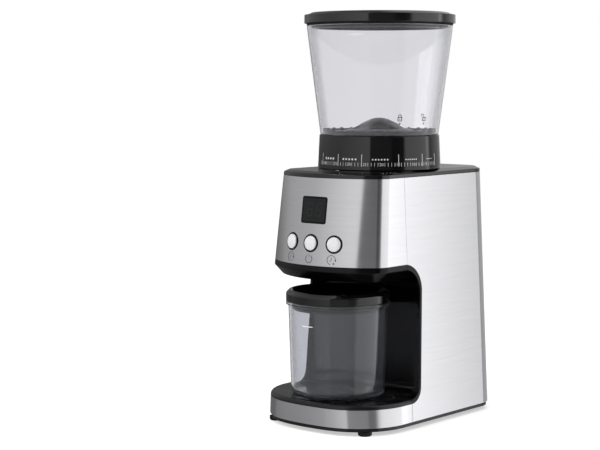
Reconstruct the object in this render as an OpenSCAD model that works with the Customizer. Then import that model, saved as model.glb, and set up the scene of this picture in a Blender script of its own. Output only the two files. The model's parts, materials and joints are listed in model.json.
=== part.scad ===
/* [Body] */
// Width of the body at floor level
body_w = 148; // [140:1:160]
// Taper of each side wall, in degrees
side_draft = 3; // [2:0.25:3.5]
// Place of the front of the base
base_front = -107; // [-112:1:-104]
// Place of the rear wall
body_rear = 105.5; // [100:0.5:110]
// Thickness of the steel skins
skin_t = 1; // [0.8:0.1:1.2]
// Thickness of the plastic shells
shell_t = 2.5; // [2:0.25:3]
// Seam between front skins and rear wrap
seam_y = -36.2; // [-40:0.1:-33]
// Half of the gap left at the seam
seam_gap = 0.15; // [0.1:0.05:0.3]

/* [Base] */
// Height of the rubber feet
foot_h = 4; // [3:0.5:5]
// Radius of the rubber feet
foot_r = 6.5; // [5:0.5:7]
// Height of the black foot trim
trim_h = 3.5; // [3:0.5:5]
// Height of the steel base band
band_h = 17; // [14:0.5:20]
// Height of the tray rim above the band
tray_h = 4.3; // [3.5:0.1:5]

/* [Head] */
// Height of the panel's lower edge
head_z = 155; // [152:1:160]
// Height of the steel front panel
head_h = 80.5; // [78:0.5:84]
// Front of the panel at its lower edge
panel_front = -100.1; // [-104:0.1:-96]
// Backward lean of the panel, in degrees
panel_lean = 7.6; // [6:0.1:9]
// Crown radius of the panel
panel_r = 95; // [90:1:110]
// Radius of the head's front corners
head_corner_r = 20; // [15:1:25]
// Crown radius of the base front
base_r = 185; // [160:1:220]
// Radius of the base's front corners
base_corner_r = 56; // [45:1:62]
// Radius of the rear corners
rear_corner_r = 25; // [20:1:30]
// Height of the black rim under the panel
chin_rim_h = 5; // [4:0.5:6]
// Height and inset of the chin's chamfer
chin_chamfer = 9; // [8:0.5:10]
// Height of the top cover
cover_h = 5.5; // [5:0.5:7]
// Chamfer of the top cover, inwards
cover_chamfer = 5; // [3:0.5:6]

/* [Container bay] */
// Rear edge of the bay at the side walls
bay_rear = -17.5; // [-20:0.5:-14]
// Forward slant of the bay's rear edge, in degrees
bay_slant = 3; // [0:0.5:4]
// Rear wall of the bay behind the container
bay_back = -4; // [-5:0.5:-3]
// Radius of the bay's upper corner
bay_top_r = 22; // [18:1:26]
// Radius of the bay's lower corner
bay_low_r = 12; // [8:1:14]
// Width of the liner's rim
bay_rim = 3; // [2.5:0.25:4]

/* [Front controls] */
// Distance between push buttons
button_pitch = 25; // [24:0.5:28]
// Height of the row of buttons
button_z = 175.5; // [173:0.5:178]
// Radius of a button's bezel
bezel_r = 8.4; // [7.6:0.1:9]
// Radius of a button
button_r = 6.9; // [6:0.1:7]
// Travel of a button
button_travel = 1.2; // [0.8:0.1:1.5]
// Width of the display window
display_w = 29.5; // [26:0.5:34]
// Height of the display window
display_h = 25; // [22:0.5:27]
// Height of the display's middle
display_z = 206; // [204:0.5:209]

/* [Grinding axis] */
// Place of the burr shaft
grind_y = 6; // [4:0.5:8]
// Outer radius of the adjusting ring at its foot
ring_r = 59.3; // [58.5:0.1:60]
// Height of the adjusting ring
ring_h = 31; // [30:0.5:33]
// Outer radius of the burr chamber
chamber_r = 44; // [43.5:0.25:45]
// Outer radius of the burr carrier
carrier_r = 35.9; // [35:0.1:36.2]
// Outer radius of the ring burr
burr_r = 27; // [25:0.5:28]
// Radius of the cone burr's foot
cone_r = 18; // [16:0.5:18.5]
// Radius of the burr shaft
shaft_r = 4; // [3.5:0.1:4.5]

/* [Hopper] */
// Outer radius of the hopper's foot
hopper_foot_r = 57; // [56:0.5:58]
// Outer radius of the hopper's mouth
hopper_mouth_r = 70.4; // [68:0.2:72]
// Height of the clear hopper
hopper_h = 104; // [90:1:115]
// Thickness of the clear walls
clear_t = 2.2; // [1.8:0.1:2.6]
// Outer radius of the hopper lid
lid_r = 72.6; // [71.5:0.1:74]

/* [Grounds container] */
// Place of the container's axis
cup_y = -56.7; // [-58:0.1:-55]
// Outer radius of the container's foot
cup_foot_r = 44.6; // [43:0.2:46]
// Outer radius of the container's mouth
cup_mouth_r = 47.4; // [46.5:0.1:48]
// Height of the container
cup_h = 89; // [80:1:91]
// Radius of the container's flange and lid
cup_lid_r = 49.5; // [49:0.1:51]
// Height of the container lid
cup_lid_h = 10.3; // [9:0.1:11]

/* [Drive] */
// Tooth module of the gears
gear_m = 1; // [0.9:0.05:1.05]
// Teeth of the motor pinion
motor_teeth = 12; // [11:1:14]
// Teeth of the idler's wheel
idler_wheel_teeth = 44; // [42:1:46]
// Teeth of the idler's pinion
idler_pinion_teeth = 14; // [12:1:16]
// Teeth of the final gear
final_teeth = 66; // [62:1:68]
// Distance from burr shaft to motor shaft
motor_offset = 52; // [50:0.5:54]
// Outer radius of the motor
motor_r = 27; // [25:0.5:28]
// Radius of the motor shaft
motor_shaft_r = 3; // [2.5:0.1:3.5]

/* [Fits] */
// Running clearance of shafts and slides
fit = 0.1; // [0.08:0.01:0.1]
// Clearance between parts that move apart
gap = 0.3; // [0.25:0.05:0.4]

/* [Hidden] */
$fn = 72;
eps = 0.01;
// overlap that joins two shapes of one piece
bite = 1;
// length of a cut that runs out past its piece
through = 20;
// reach of a cut or block that takes in the whole part
beyond = 500;

// heights of the body's levels
trim_z = foot_h;
band_z = trim_z + trim_h;
tray_z = band_z + band_h;
floor_z = tray_z + tray_h;
chin_z = head_z - chin_rim_h;
under_z = chin_z - chin_chamfer;
cover_z = head_z + head_h;
top_z = cover_z + cover_h;
arc_n = 14;
corner_n = 8;

// half width of the body at a height
function half_w(z) = body_w / 2 - z * tan(side_draft);
// front of the panel's middle at a height
function panel_y(z) = panel_front + (z - head_z) * tan(panel_lean);
// face of the crowned panel at a place
function panel_face(x, z) = panel_y(z) + panel_r - sqrt(panel_r * panel_r - x * x);
function arc(c, r, a0, a1, n) =
    [for (i = [0:n]) let (a = a0 + (a1 - a0) * i / n) c + r * [sin(a), -cos(a)]];
// right half of a crowned front, from its middle to the straight side
function half_front(h, yf, crown, rc) =
    let (cy = yf + crown - sqrt(pow(crown - rc, 2) - pow(h - rc, 2)),
         t = atan2(h - rc, yf + crown - cy))
    concat(arc([0, yf + crown], crown, 0, t, arc_n),
        [for (i = [1:corner_n]) let (a = t + (90 - t) * i / corner_n)
            [h - rc + rc * sin(a), cy - rc * cos(a)]]);
// right half of an outline from the front middle to the rear middle
function half_outline(h, yf, yr, crown, rc, rr) =
    concat(half_front(h, yf, crown, rc), arc([h - rr, yr - rr], rr, 90, 180, corner_n));
function mirrored(p) = [for (i = [len(p) - 1:-1:1]) [-p[i][0], p[i][1]]];
function outline(h, yf, yr, crown, rc, rr) =
    let (p = half_outline(h, yf, yr, crown, rc, rr)) concat(p, mirrored(p));

function base_half(z, inset, end) =
    concat(half_front(half_w(z) - inset, base_front + inset, base_r - inset, base_corner_r - inset),
        [[half_w(z) - inset, end]]);
function reversed(p) = [for (i = [len(p) - 1:-1:0]) p[i]];
function at_height(p, z) = [for (q = p) [q[0], q[1], z]];
// front of the base at a height, closed straight across at its rear end
function base_ring(z, inset, end) =
    let (half = base_half(z, inset, end)) at_height(concat(half, mirrored(half)), z);
// the same front as a thin wall
function band_ring(z, wall, end) =
    let (out = base_half(z, 0, end), in = base_half(z, wall, end))
    at_height(concat(mirrored(out), out, reversed(concat(mirrored(in), in))), z);
// solid skinned from ring to ring, closed at the first and the last
module skinned(rings) {
    n = len(rings[0]);
    last = len(rings) - 1;
    sides = [for (k = [0:last - 1], i = [0:n - 1]) let (j = (i + 1) % n, a = k * n, b = a + n)
        each [[a + i, b + i, a + j], [a + j, b + i, b + j]]];
    polyhedron(points = [for (ring = rings) each ring],
        faces = concat([[for (i = [0:n - 1]) i]], sides, [[for (i = [n - 1:-1:0]) last * n + i]]));
}

module head_slice(z, inset = 0) {
    translate([0, 0, z]) linear_extrude(eps)
        polygon(outline(half_w(z) - inset, panel_y(z) + inset, body_rear - inset,
            panel_r - inset, head_corner_r - inset, rear_corner_r - inset));
}
module base_slice(z, inset = 0) {
    translate([0, 0, z]) linear_extrude(eps)
        polygon(outline(half_w(z) - inset, base_front + inset, body_rear - inset,
            base_r - inset, base_corner_r - inset, rear_corner_r - inset));
}
module head_loft(z0, z1, inset = 0, inset1 = -1) {
    hull() {
        head_slice(z0, inset);
        head_slice(z1 - eps, inset1 < 0 ? inset : inset1);
    }
}
module base_loft(z0, z1, inset = 0, inset1 = -1) {
    hull() {
        base_slice(z0, inset);
        base_slice(z1 - eps, inset1 < 0 ? inset : inset1);
    }
}
// all that lies in front of or behind a plane across the body
module ahead_of(y) translate([-body_w, y - 2 * body_w, -eps]) cube([2 * body_w, 2 * body_w, beyond]);
module behind(y) translate([-body_w, y, -eps]) cube([2 * body_w, 2 * body_w, beyond]);
module tube(r, bore, z0, z1) {
    translate([0, 0, z0]) difference() {
        cylinder(r = r, h = z1 - z0);
        translate([0, 0, -1]) cylinder(r = bore, h = z1 - z0 + 2);
    }
}
module cone_tube(r0, r1, wall, h) {
    difference() {
        cylinder(r1 = r0, r2 = r1, h = h);
        translate([0, 0, -eps]) cylinder(r1 = r0 - wall, r2 = r1 - wall, h = h + 2 * eps);
    }
}
// ring sector between two radii, centred on an azimuth seen from the front
module sector(r0, r1, z0, z1, mid, span) {
    rotate([0, 0, mid - span / 2 - 90]) translate([0, 0, z0])
        rotate_extrude(angle = span) translate([r0, 0]) square([r1 - r0, z1 - z0]);
}
module at_grind() translate([0, grind_y, 0]) children();
module at_cup() translate([0, cup_y, 0]) children();

// ---- base ----
// distance to the side, then the two places along the body
foot_at = [54, -84, 88];
leg_at = [50, 10, 88];
leg_r = 5;
screw_r = 1.5;
screw_head_r = 3;
screw_head_h = 1.5;
screw_l = 12;
module at_corners(at) for (s = [-1, 1], y = [at[1], at[2]]) translate([s * at[0], y, 0]) children();
module at_feet() at_corners(foot_at) children();
module at_legs() at_corners(leg_at) children();
module base_plate() {
    lip_h = 5;
    trim_inset = 1.5;
    slot = [40, 3];
    slot_pitch = 7;
    color("#1a1a1c") difference() {
        union() {
            base_loft(trim_z, band_z, trim_inset);
            difference() {
                base_loft(band_z, band_z + lip_h, skin_t + shell_t + gap);
                base_loft(band_z - 1, band_z + lip_h + 1, skin_t + 2 * shell_t);
            }
        }
        at_legs() {
            translate([0, 0, trim_z - 1]) cylinder(r = screw_r + fit, h = through);
            translate([0, 0, trim_z - 1]) cylinder(r = screw_head_r + fit, h = 1 + trim_h / 2);
        }
        // air slots under the motor
        for (i = [-3:3])
            translate([-slot[0] / 2, grind_y + motor_offset + i * slot_pitch - slot[1] / 2, trim_z - 1])
                cube([slot[0], slot[1], trim_h + 2]);
    }
}
module feet() {
    color("#202022") at_feet() {
        cylinder(r1 = foot_r - 1, r2 = foot_r, h = 1);
        translate([0, 0, 1]) cylinder(r = foot_r, h = foot_h - 1);
    }
}
module base_screws() {
    color("silver") at_legs() {
        translate([0, 0, trim_z + trim_h / 2 - screw_head_h]) cylinder(r = screw_head_r, h = screw_head_h);
        translate([0, 0, trim_z + trim_h / 2]) cylinder(r = screw_r, h = screw_l);
    }
}
module base_band() {
    end = seam_y - seam_gap;
    color("#c9c9cc") skinned([band_ring(band_z, skin_t, end), band_ring(tray_z, skin_t, end)]);
}
module base_tray() {
    rim_slope = 2.5;
    inner = skin_t + shell_t;
    past = 10;
    // heights and insets from the underside of the tray round its skirt and rim to its floor;
    // all run past the seam, the cavity less far, and are cut back to it
    rows = [[floor_z - shell_t, inner], [band_z, inner], [band_z, skin_t + fit], [tray_z, skin_t + fit],
        [tray_z, 0], [tray_z + tray_h / 3, 0], [floor_z, rim_slope]];
    color("#161618") intersection() {
        skinned([for (row = rows)
            base_ring(row[0], row[1], seam_y + (row[1] == inner ? past : 2 * past))]);
        ahead_of(seam_y);
    }
}

// ---- container bay ----
// outline of the bay seen from the side: the bay runs forward from its rear edge
function bay_outline(yr, zt, zb, rt, rb, slant) =
    let (lean = (zt - zb) * tan(slant))
    concat([[2 * base_front, zb]],
        [for (i = [0:corner_n]) let (a = 90 * i / corner_n)
            [yr - lean - rb + rb * sin(a), zb + rb - rb * cos(a)]],
        [for (i = [0:corner_n]) let (a = 90 * i / corner_n)
            [yr - rt + rt * cos(a), zt - rt + rt * sin(a)]],
        [[2 * base_front, zt]]);
module bay_slab(x, w, yr, zt, zb, rt, rb, slant) {
    translate([x - w / 2, 0, 0]) rotate([90, 0, 90]) linear_extrude(w)
        polygon(bay_outline(yr, zt, zb, rt, rb, slant));
}
bay_mid_w = 2 * (half_w(head_z) - chin_chamfer);
bay_end_x = half_w(head_z) - skin_t - gap;
bay_mid_low_r = 5;
bay_mid_top_r = 8;
liner_t = 3;
// side outline of the bay between the flares (mid) and at the side walls (end);
// walled adds the liner's thickness all round
module bay_mid(x, w, walled) {
    t = walled ? 1 : 0;
    bay_slab(x, w, bay_back + t * liner_t, under_z + t * liner_t, floor_z - t * tray_h,
        bay_mid_top_r + t * liner_t, bay_mid_low_r + t * liner_t, 0);
}
module bay_end(x, w, walled) {
    t = walled ? 1 : 0;
    bay_slab(x, w, bay_rear + t * bay_rim, chin_z + t * chin_rim_h, floor_z - t * tray_h,
        bay_top_r + t * bay_rim, bay_low_r + t * bay_rim, bay_slant);
}
// space that flares towards both sides
module bay_space(walled) {
    bay_mid(0, bay_mid_w, walled);
    for (s = [-1, 1]) {
        hull() {
            bay_mid(s * (bay_mid_w / 2 - eps), eps, walled);
            bay_end(s * bay_end_x, eps, walled);
        }
        bay_end(s * (bay_end_x + body_w / 4), body_w / 2, walled);
    }
}
module bay_liner() {
    color("#161618") intersection() {
        difference() {
            bay_space(true);
            bay_space(false);
        }
        base_loft(tray_z, head_z);
        behind(seam_y);
    }
}
module rear_wrap() {
    color("#d4d4d6") difference() {
        intersection() {
            difference() {
                base_loft(band_z, cover_z);
                base_loft(band_z - 1, cover_z + 1, skin_t);
            }
            behind(seam_y + seam_gap);
        }
        bay_end(0, 2 * body_w, true);
        translate([0, body_rear + 1, inlet_z]) rotate([90, 0, 0]) cylinder(r = inlet_r + fit, h = through);
    }
}

// ---- head ----
// frame whose Z leaves the panel's face squarely at a place on it
module on_panel(x, z) translate([x, panel_face(x, z), z]) rotate([0, 0, asin(x / panel_r)])
    rotate([90 - panel_lean, 0, 0]) children();
module at_buttons() for (i = [-1:1]) on_panel(i * button_pitch, button_z) children();
// block of the window's outline, with round corners, through the panel
window_r = 2;
module window_hole(margin) {
    x = display_w / 2 + margin - window_r;
    y = display_h / 2 + margin - window_r;
    on_panel(0, display_z) translate([0, 0, -through]) {
        translate([-x - window_r, -y, 0]) cube([2 * (x + window_r), 2 * y, 2 * through]);
        translate([-x, -y - window_r, 0]) cube([2 * x, 2 * (y + window_r), 2 * through]);
        for (sx = [-1, 1], sy = [-1, 1]) translate([sx * x, sy * y, 0])
            cylinder(r = window_r, h = 2 * through);
    }
}
module front_panel() {
    color("#c9c9cc") difference() {
        intersection() {
            difference() {
                head_loft(head_z, cover_z);
                head_loft(head_z - 1, cover_z + 1, skin_t);
            }
            ahead_of(seam_y - seam_gap);
        }
        window_hole(fit);
        at_buttons() translate([0, 0, -through / 2]) cylinder(r = bezel_r + fit, h = through);
    }
}
spout_r = 13;
bezel_lip = 1.5;
window_t = 2.5;
switch_h = 2;
module head_chin() {
    wall = shell_t + 0.5;
    color("#161618") difference() {
        intersection() {
            difference() {
                hull() {
                    head_slice(under_z, chin_chamfer);
                    head_slice(chin_z);
                    head_slice(head_z - eps);
                }
                head_loft(under_z + wall, head_z + 1, chin_chamfer + wall / 2, wall);
            }
            ahead_of(seam_y);
        }
        at_cup() translate([0, 0, under_z - 1]) cylinder(r = spout_r + fit, h = through);
    }
}
neck_bore = 46;
notch_r = 3;
notch_depth = 0.4;
module top_cover() {
    lip_h = 6;
    color("#161618") difference() {
        union() {
            head_loft(cover_z - lip_h, cover_z + bite, skin_t + fit);
            hull() {
                head_slice(cover_z);
                head_slice(cover_z + cover_h * 0.6);
                head_slice(top_z - eps, cover_chamfer);
            }
        }
        head_loft(cover_z - lip_h - 1, top_z - shell_t, skin_t + shell_t);
        at_grind() translate([0, 0, cover_z - through]) cylinder(r = neck_bore, h = 2 * through);
        // index notch in front of the adjusting ring
        translate([0, grind_y - ring_r - 2, top_z - notch_depth]) rotate([0, 0, -90])
            cylinder(r = notch_r, h = 1, $fn = 3);
    }
}
board_depth = 14;
board_t = 1.6;
board_w = 82;
board_low = button_z - 14;
board_high = display_z + 20;
post_x = 36;
post_margin = 4;
post_r = 3;
// frame whose Z is the head's own lean, at the panel's middle
module panel_axes() translate([0, panel_y(display_z), display_z]) rotate([90 - panel_lean, 0, 0])
    children();
module at_posts() for (s = [-1, 1], z = [board_low + post_margin, board_high - post_margin])
    translate([s * post_x, z - display_z, 0]) children();
module panel_frame() {
    frame_t = 2;
    frame_w = 104;
    color("#161618") {
        difference() {
            intersection() {
                difference() {
                    head_loft(head_z + 1, cover_z - 7, skin_t + fit);
                    head_loft(head_z, cover_z - 6, skin_t + frame_t);
                }
                translate([-frame_w / 2, -beyond / 2, 0]) cube([frame_w, beyond, beyond]);
                ahead_of(grind_y - 60);
            }
            window_hole(fit);
            at_buttons() translate([0, 0, -through / 2])
                cylinder(r = bezel_r + bezel_lip + fit, h = through);
        }
        difference() {
            panel_axes() at_posts() translate([0, 0, -board_depth]) cylinder(r = post_r, h = board_depth);
            head_front_cut(skin_t + frame_t / 2);
        }
    }
}
// everything in front of the panel's inner face at a depth
module head_front_cut(depth) difference() {
    translate([-body_w / 2, -200, head_z - 10]) cube([body_w, 160, head_h + 20]);
    head_loft(head_z - 20, cover_z + 20, depth);
}
module display_window() {
    color("#0c0c0e") intersection() {
        difference() {
            head_loft(head_z, cover_z);
            head_loft(head_z - 1, cover_z + 1, window_t);
        }
        window_hole(0);
    }
}
module display_module() {
    color("#2a2a2e") panel_axes() translate([-display_w / 2 + 2, -display_h / 2 + 2, -board_depth])
        cube([display_w - 4, display_h - 4, board_depth - window_t - 2.5]);
}
module button_bezels() {
    color("#101012") at_buttons() translate([0, 0, -5]) difference() {
        union() {
            cylinder(r = bezel_r, h = 5.4);
            translate([0, 0, 0.2]) cylinder(r = bezel_r + bezel_lip, h = 4 - skin_t);
        }
        translate([0, 0, -1]) cylinder(r = button_r + gap, h = 10);
    }
}
module push_button(i) {
    proud = 1.4;
    crown = 1.2;
    dome = (button_r * button_r + crown * crown) / (2 * crown);
    sag = i == 0 ? 0 : panel_face(button_pitch, 0) - panel_y(0) + gap;
    stem_end = board_depth - sag - switch_h - button_travel - gap;
    color("#e4e4e6") on_panel(i * button_pitch, button_z) {
        translate([0, 0, -4]) cylinder(r = button_r, h = 4 + proud);
        intersection() {
            translate([0, 0, proud + crown - dome]) sphere(r = dome);
            translate([0, 0, proud - eps]) cylinder(r = button_r, h = crown + 1);
        }
        translate([0, 0, -stem_end]) cylinder(r = 2, h = stem_end - 3);
    }
}
module timer_minus_button() push_button(-1);
module power_button() push_button(0);
module timer_plus_button() push_button(1);
module control_board() {
    color("#1d6b3a") panel_axes() translate([-board_w / 2, board_low - display_z, -board_depth - board_t])
        cube([board_w, board_high - board_low, board_t]);
}
module tact_switches() {
    switch_w = 6;
    // the buttons' stems lean with the crowned panel, so they meet the board nearer its middle
    stem_x = button_pitch * 0.985;
    stem_z = (button_z - display_z) / cos(panel_lean);
    color("#303036") for (i = [-1:1]) panel_axes()
        translate([i * stem_x - switch_w / 2, stem_z - switch_w / 2, -board_depth])
            cube([switch_w, switch_w, switch_h]);
}

// ---- inner frame and drive ----
inlet_z = 22;
inlet_r = 6;
shelf_z = under_z;
shelf_t = 4;
damper_h = 4;
box_z = shelf_z + shelf_t + damper_h;
box_floor = 3;
wheel_z = box_z + box_floor + 2;
wheel_t = 5;
pinion_z = wheel_z + wheel_t + 2;
pinion_t = 6;
box_top = pinion_z + pinion_t + 5;
lid_t = 3;
chamber_z = box_top + lid_t;
// radii of pitch circles
function pitch(teeth) = gear_m * teeth / 2;
idler_reach = pitch(final_teeth) + pitch(idler_pinion_teeth);
motor_reach = pitch(motor_teeth) + pitch(idler_wheel_teeth);
idler_dy = (pow(idler_reach, 2) - pow(motor_reach, 2) + pow(motor_offset, 2)) / (2 * motor_offset);
idler_dx = sqrt(pow(idler_reach, 2) - pow(idler_dy, 2));
module at_motor() translate([0, grind_y + motor_offset, 0]) children();
module at_idler() translate([idler_dx, grind_y + idler_dy, 0]) children();
// half of a tooth's angle at a radius, for an involute of 20 degrees
function involute(a) = tan(a) * 180 / PI - a;
function tooth_half(teeth, r) =
    let (base = pitch(teeth) * cos(20))
    90 / teeth - backlash / pitch(teeth) * 180 / PI + involute(20)
        - (r <= base ? 0 : involute(acos(base / r)));
backlash = 0.06;
addendum = 0.78;
flank_n = 5;
module gear(teeth, h, turn) {
    base = pitch(teeth) * cos(20);
    root = pitch(teeth) - 1.2 * gear_m;
    tip = pitch(teeth) + addendum * gear_m;
    start = max(base, root);
    flank = concat([[root, tooth_half(teeth, root)]],
        [for (i = [0:flank_n]) let (r = start + (tip - start) * i / flank_n)
            [r, tooth_half(teeth, r)]]);
    n = len(flank);
    rotate([0, 0, turn]) linear_extrude(h) polygon([for (k = [0:teeth - 1], i = [0:2 * n - 1])
        let (p = i < n ? flank[i] : flank[2 * n - 1 - i], a = 360 * k / teeth + (i < n ? -p[1] : p[1]))
        [p[0] * cos(a), p[0] * sin(a)]]);
}
// direction from the motor to the idler and from the idler to the burr shaft
motor_to_idler = atan2(idler_dy - motor_offset, idler_dx);
idler_to_burr = atan2(-idler_dy, -idler_dx);
bush_r = 7;
low_bush_h = box_floor + 4;
pin_r = 2.5;
screw_grip = 6;
module chassis() {
    color("#2b2b2e") difference() {
        union() {
            at_legs() translate([0, 0, band_z]) cylinder(r = leg_r, h = shelf_z - band_z + eps);
            translate([-leg_at[0] - leg_r, leg_at[1] - leg_r, shelf_z])
                cube([2 * (leg_at[0] + leg_r), leg_at[2] - leg_at[1] + 2 * leg_r, shelf_t]);
        }
        at_legs() translate([0, 0, band_z - 1]) cylinder(r = screw_r + fit, h = screw_l + 2);
        at_motor() translate([0, 0, shelf_z - 1]) cylinder(r = motor_r + 1, h = shelf_t + 2);
    }
}
damper_r = 5;
damper_bore = 1.7;
damper_at = [[-24, 12], [24, 12], [-26, 38], [34, 46]];
module at_dampers() for (p = damper_at) translate([p[0], p[1], 0]) children();
module motor_dampers() {
    color("#101010") at_dampers() difference() {
        translate([0, 0, shelf_z + shelf_t]) cylinder(r = damper_r, h = damper_h);
        translate([0, 0, shelf_z + shelf_t - 1]) cylinder(r = damper_bore, h = damper_h + 2);
    }
}
// room round the gears, and the wall outside it
gear_room = 2;
box_wall = 3;
module box_outline(grow) {
    at_grind() cylinder(r = pitch(final_teeth) + gear_room + grow, h = beyond);
    at_idler() cylinder(r = pitch(idler_wheel_teeth) + gear_room + grow, h = beyond);
    at_motor() cylinder(r = pitch(motor_teeth) + 3 * gear_room + grow, h = beyond);
}
module box_layer(z, h, grow) intersection() {
    box_outline(grow);
    translate([-beyond / 2, -beyond / 2, z]) cube([beyond, beyond, h]);
}
module gearbox_base() {
    color("#8d8f92") difference() {
        union() {
            difference() {
                box_layer(box_z, box_top - box_z, box_wall);
                box_layer(box_z + box_floor, beyond, 0);
            }
            at_grind() translate([0, 0, box_z]) cylinder(r = bush_r + box_wall, h = low_bush_h);
            at_dampers() translate([0, 0, box_z]) cylinder(r = damper_r, h = box_floor);
            screw_bosses(box_z, box_top - box_z);
        }
        at_cover_screws() translate([0, 0, box_top - screw_grip - 1]) cylinder(r = screw_r, h = beyond);
        at_grind() translate([0, 0, box_z - 1]) cylinder(r = bush_r, h = beyond);
        at_idler() translate([0, 0, box_z + 1]) cylinder(r = pin_r, h = beyond);
        at_motor() translate([0, 0, box_z - 1]) cylinder(r = motor_shaft_r + 1, h = beyond);
    }
}
module gearbox_cover() {
    color("#8d8f92") difference() {
        union() {
            box_layer(box_top, lid_t, box_wall);
            screw_bosses(box_top, lid_t);
        }
        at_grind() translate([0, 0, box_top - 1]) cylinder(r = shaft_r + gap, h = through);
        at_idler() translate([0, 0, box_top - 1]) cylinder(r = pin_r, h = through);
        at_cover_screws() translate([0, 0, box_top - 1]) cylinder(r = screw_r, h = through);
    }
}
module screw_bosses(z, h) difference() {
    at_cover_screws() translate([0, 0, z]) cylinder(r = screw_r + 2.5, h = h);
    box_layer(z - 1, h + 2, 0);
}
// directions of the screws round the final gear; one more stands beside the idler
cover_screws = [150, 210, 330];
module at_cover_screws() {
    at_grind() for (a = cover_screws) rotate([0, 0, a])
        translate([pitch(final_teeth) + gear_room + box_wall, 0, 0]) children();
    at_idler() translate([pitch(idler_wheel_teeth) + gear_room + box_wall, 0, 0]) children();
}
module gearbox_screws() {
    color("silver") at_cover_screws() {
        translate([0, 0, box_top - screw_grip]) cylinder(r = screw_r - fit, h = screw_grip + lid_t + eps);
        translate([0, 0, box_top + lid_t]) cylinder(r = screw_head_r, h = screw_head_h);
    }
}
module idler_pin() {
    color("silver") at_idler() translate([0, 0, box_z + 1])
        cylinder(r = pin_r, h = box_top + lid_t - box_z - 1);
}
module idler_gear() {
    wheel_turn = motor_to_idler + 180 + 180 / idler_wheel_teeth;
    hub_z = box_z + box_floor + gap;
    color("#d8d2c0") at_idler() difference() {
        union() {
            translate([0, 0, wheel_z]) gear(idler_wheel_teeth, wheel_t, wheel_turn);
            translate([0, 0, wheel_z + 1])
                cylinder(r = pitch(idler_pinion_teeth) - 1.5 * gear_m, h = pinion_z - wheel_z);
            translate([0, 0, pinion_z]) gear(idler_pinion_teeth, pinion_t, idler_to_burr);
            translate([0, 0, hub_z]) cylinder(r = pin_r + 2, h = wheel_z + gap - hub_z);
            translate([0, 0, pinion_z + 1]) cylinder(r = pin_r + 1.5, h = box_top - pinion_z - 1 - gap);
        }
        translate([0, 0, box_z]) cylinder(r = pin_r + fit / 2, h = beyond);
    }
}
module final_gear() {
    final_turn = idler_to_burr + 180 + 180 / final_teeth;
    hub_z = pinion_z + pinion_t - eps;
    color("#d8d2c0") at_grind() difference() {
        union() {
            translate([0, 0, pinion_z]) gear(final_teeth, pinion_t, final_turn);
            translate([0, 0, hub_z]) cylinder(r = bush_r, h = box_top - gap - eps - hub_z);
        }
        translate([0, 0, pinion_z - 1]) cylinder(r = shaft_r, h = through);
    }
}
module motor_pinion() {
    color("silver") at_motor() difference() {
        translate([0, 0, wheel_z - 0.5]) gear(motor_teeth, wheel_t + 1, motor_to_idler);
        translate([0, 0, wheel_z - 1]) cylinder(r = motor_shaft_r, h = through);
    }
}
motor_low = 74;
motor_wall = 1.6;
core_r = 17;
core_h = 36;
stator_h = 40;
cap_t = 3;
bell_h = 7;
module motor_can() {
    can_h = box_z - motor_low;
    color("#9a9c9f") at_motor() difference() {
        translate([0, 0, motor_low]) cylinder(r = motor_r, h = can_h);
        translate([0, 0, motor_low - 1]) cylinder(r = motor_r - motor_wall, h = can_h + 1 - cap_t);
        translate([0, 0, motor_low]) cylinder(r = motor_shaft_r + fit / 2, h = beyond);
    }
}
module motor_stator() {
    color("#3c3c40") at_motor() for (a = [0, 180])
        sector(core_r + 1, motor_r - motor_wall, motor_low + 18, motor_low + 18 + stator_h, a, 120);
}
module motor_end_bell() {
    color("#26262a") at_motor() difference() {
        union() {
            translate([0, 0, motor_low - bell_h]) cylinder(r = motor_r, h = bell_h);
            translate([0, 0, motor_low]) cylinder(r = motor_r - motor_wall, h = 3);
        }
        translate([0, 0, motor_low - bell_h + cap_t]) cylinder(r = motor_r - motor_wall - 2, h = through);
        translate([0, 0, motor_low - through]) cylinder(r = motor_shaft_r + fit / 2, h = 2 * through);
        // air holes
        for (a = [0:60:300]) rotate([0, 0, a + 30]) translate([15, 0, motor_low - 10])
            cylinder(r = 4, h = 10);
    }
}
brush_r = 8;
module motor_brushes() {
    color("#5a4a30") at_motor() for (a = [0, 180]) rotate([0, 0, a])
        translate([brush_r + gap, -3, motor_low - bell_h + cap_t]) cube([10, 6, 12]);
}
module motor_rotor() {
    color("#b87333") at_motor() {
        translate([0, 0, fan_z]) cylinder(r = motor_shaft_r, h = wheel_z + wheel_t + 1 - fan_z);
        translate([0, 0, motor_low + 20]) cylinder(r = core_r, h = core_h);
        translate([0, 0, motor_low + 12]) cylinder(r = core_r - 3, h = core_h + 16);
        translate([0, 0, motor_low - bell_h + cap_t + 2]) cylinder(r = brush_r, h = 20);
    }
}
fan_z = 50;
fan_h = 10;
module motor_fan() {
    fan_r = 24;
    hub_r = 6;
    blade_t = 1.5;
    color("#e8e4da") at_motor() difference() {
        union() {
            translate([0, 0, fan_z + 1]) cylinder(r = hub_r, h = fan_h + 2);
            translate([0, 0, fan_z + fan_h - 1]) cylinder(r = fan_r, h = blade_t);
            for (a = [0:45:315]) rotate([0, 0, a]) translate([hub_r - 1, -blade_t / 2, fan_z + 1])
                cube([fan_r - hub_r, blade_t, fan_h - 1]);
        }
        translate([0, 0, fan_z]) cylinder(r = motor_shaft_r, h = through);
    }
}

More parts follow.
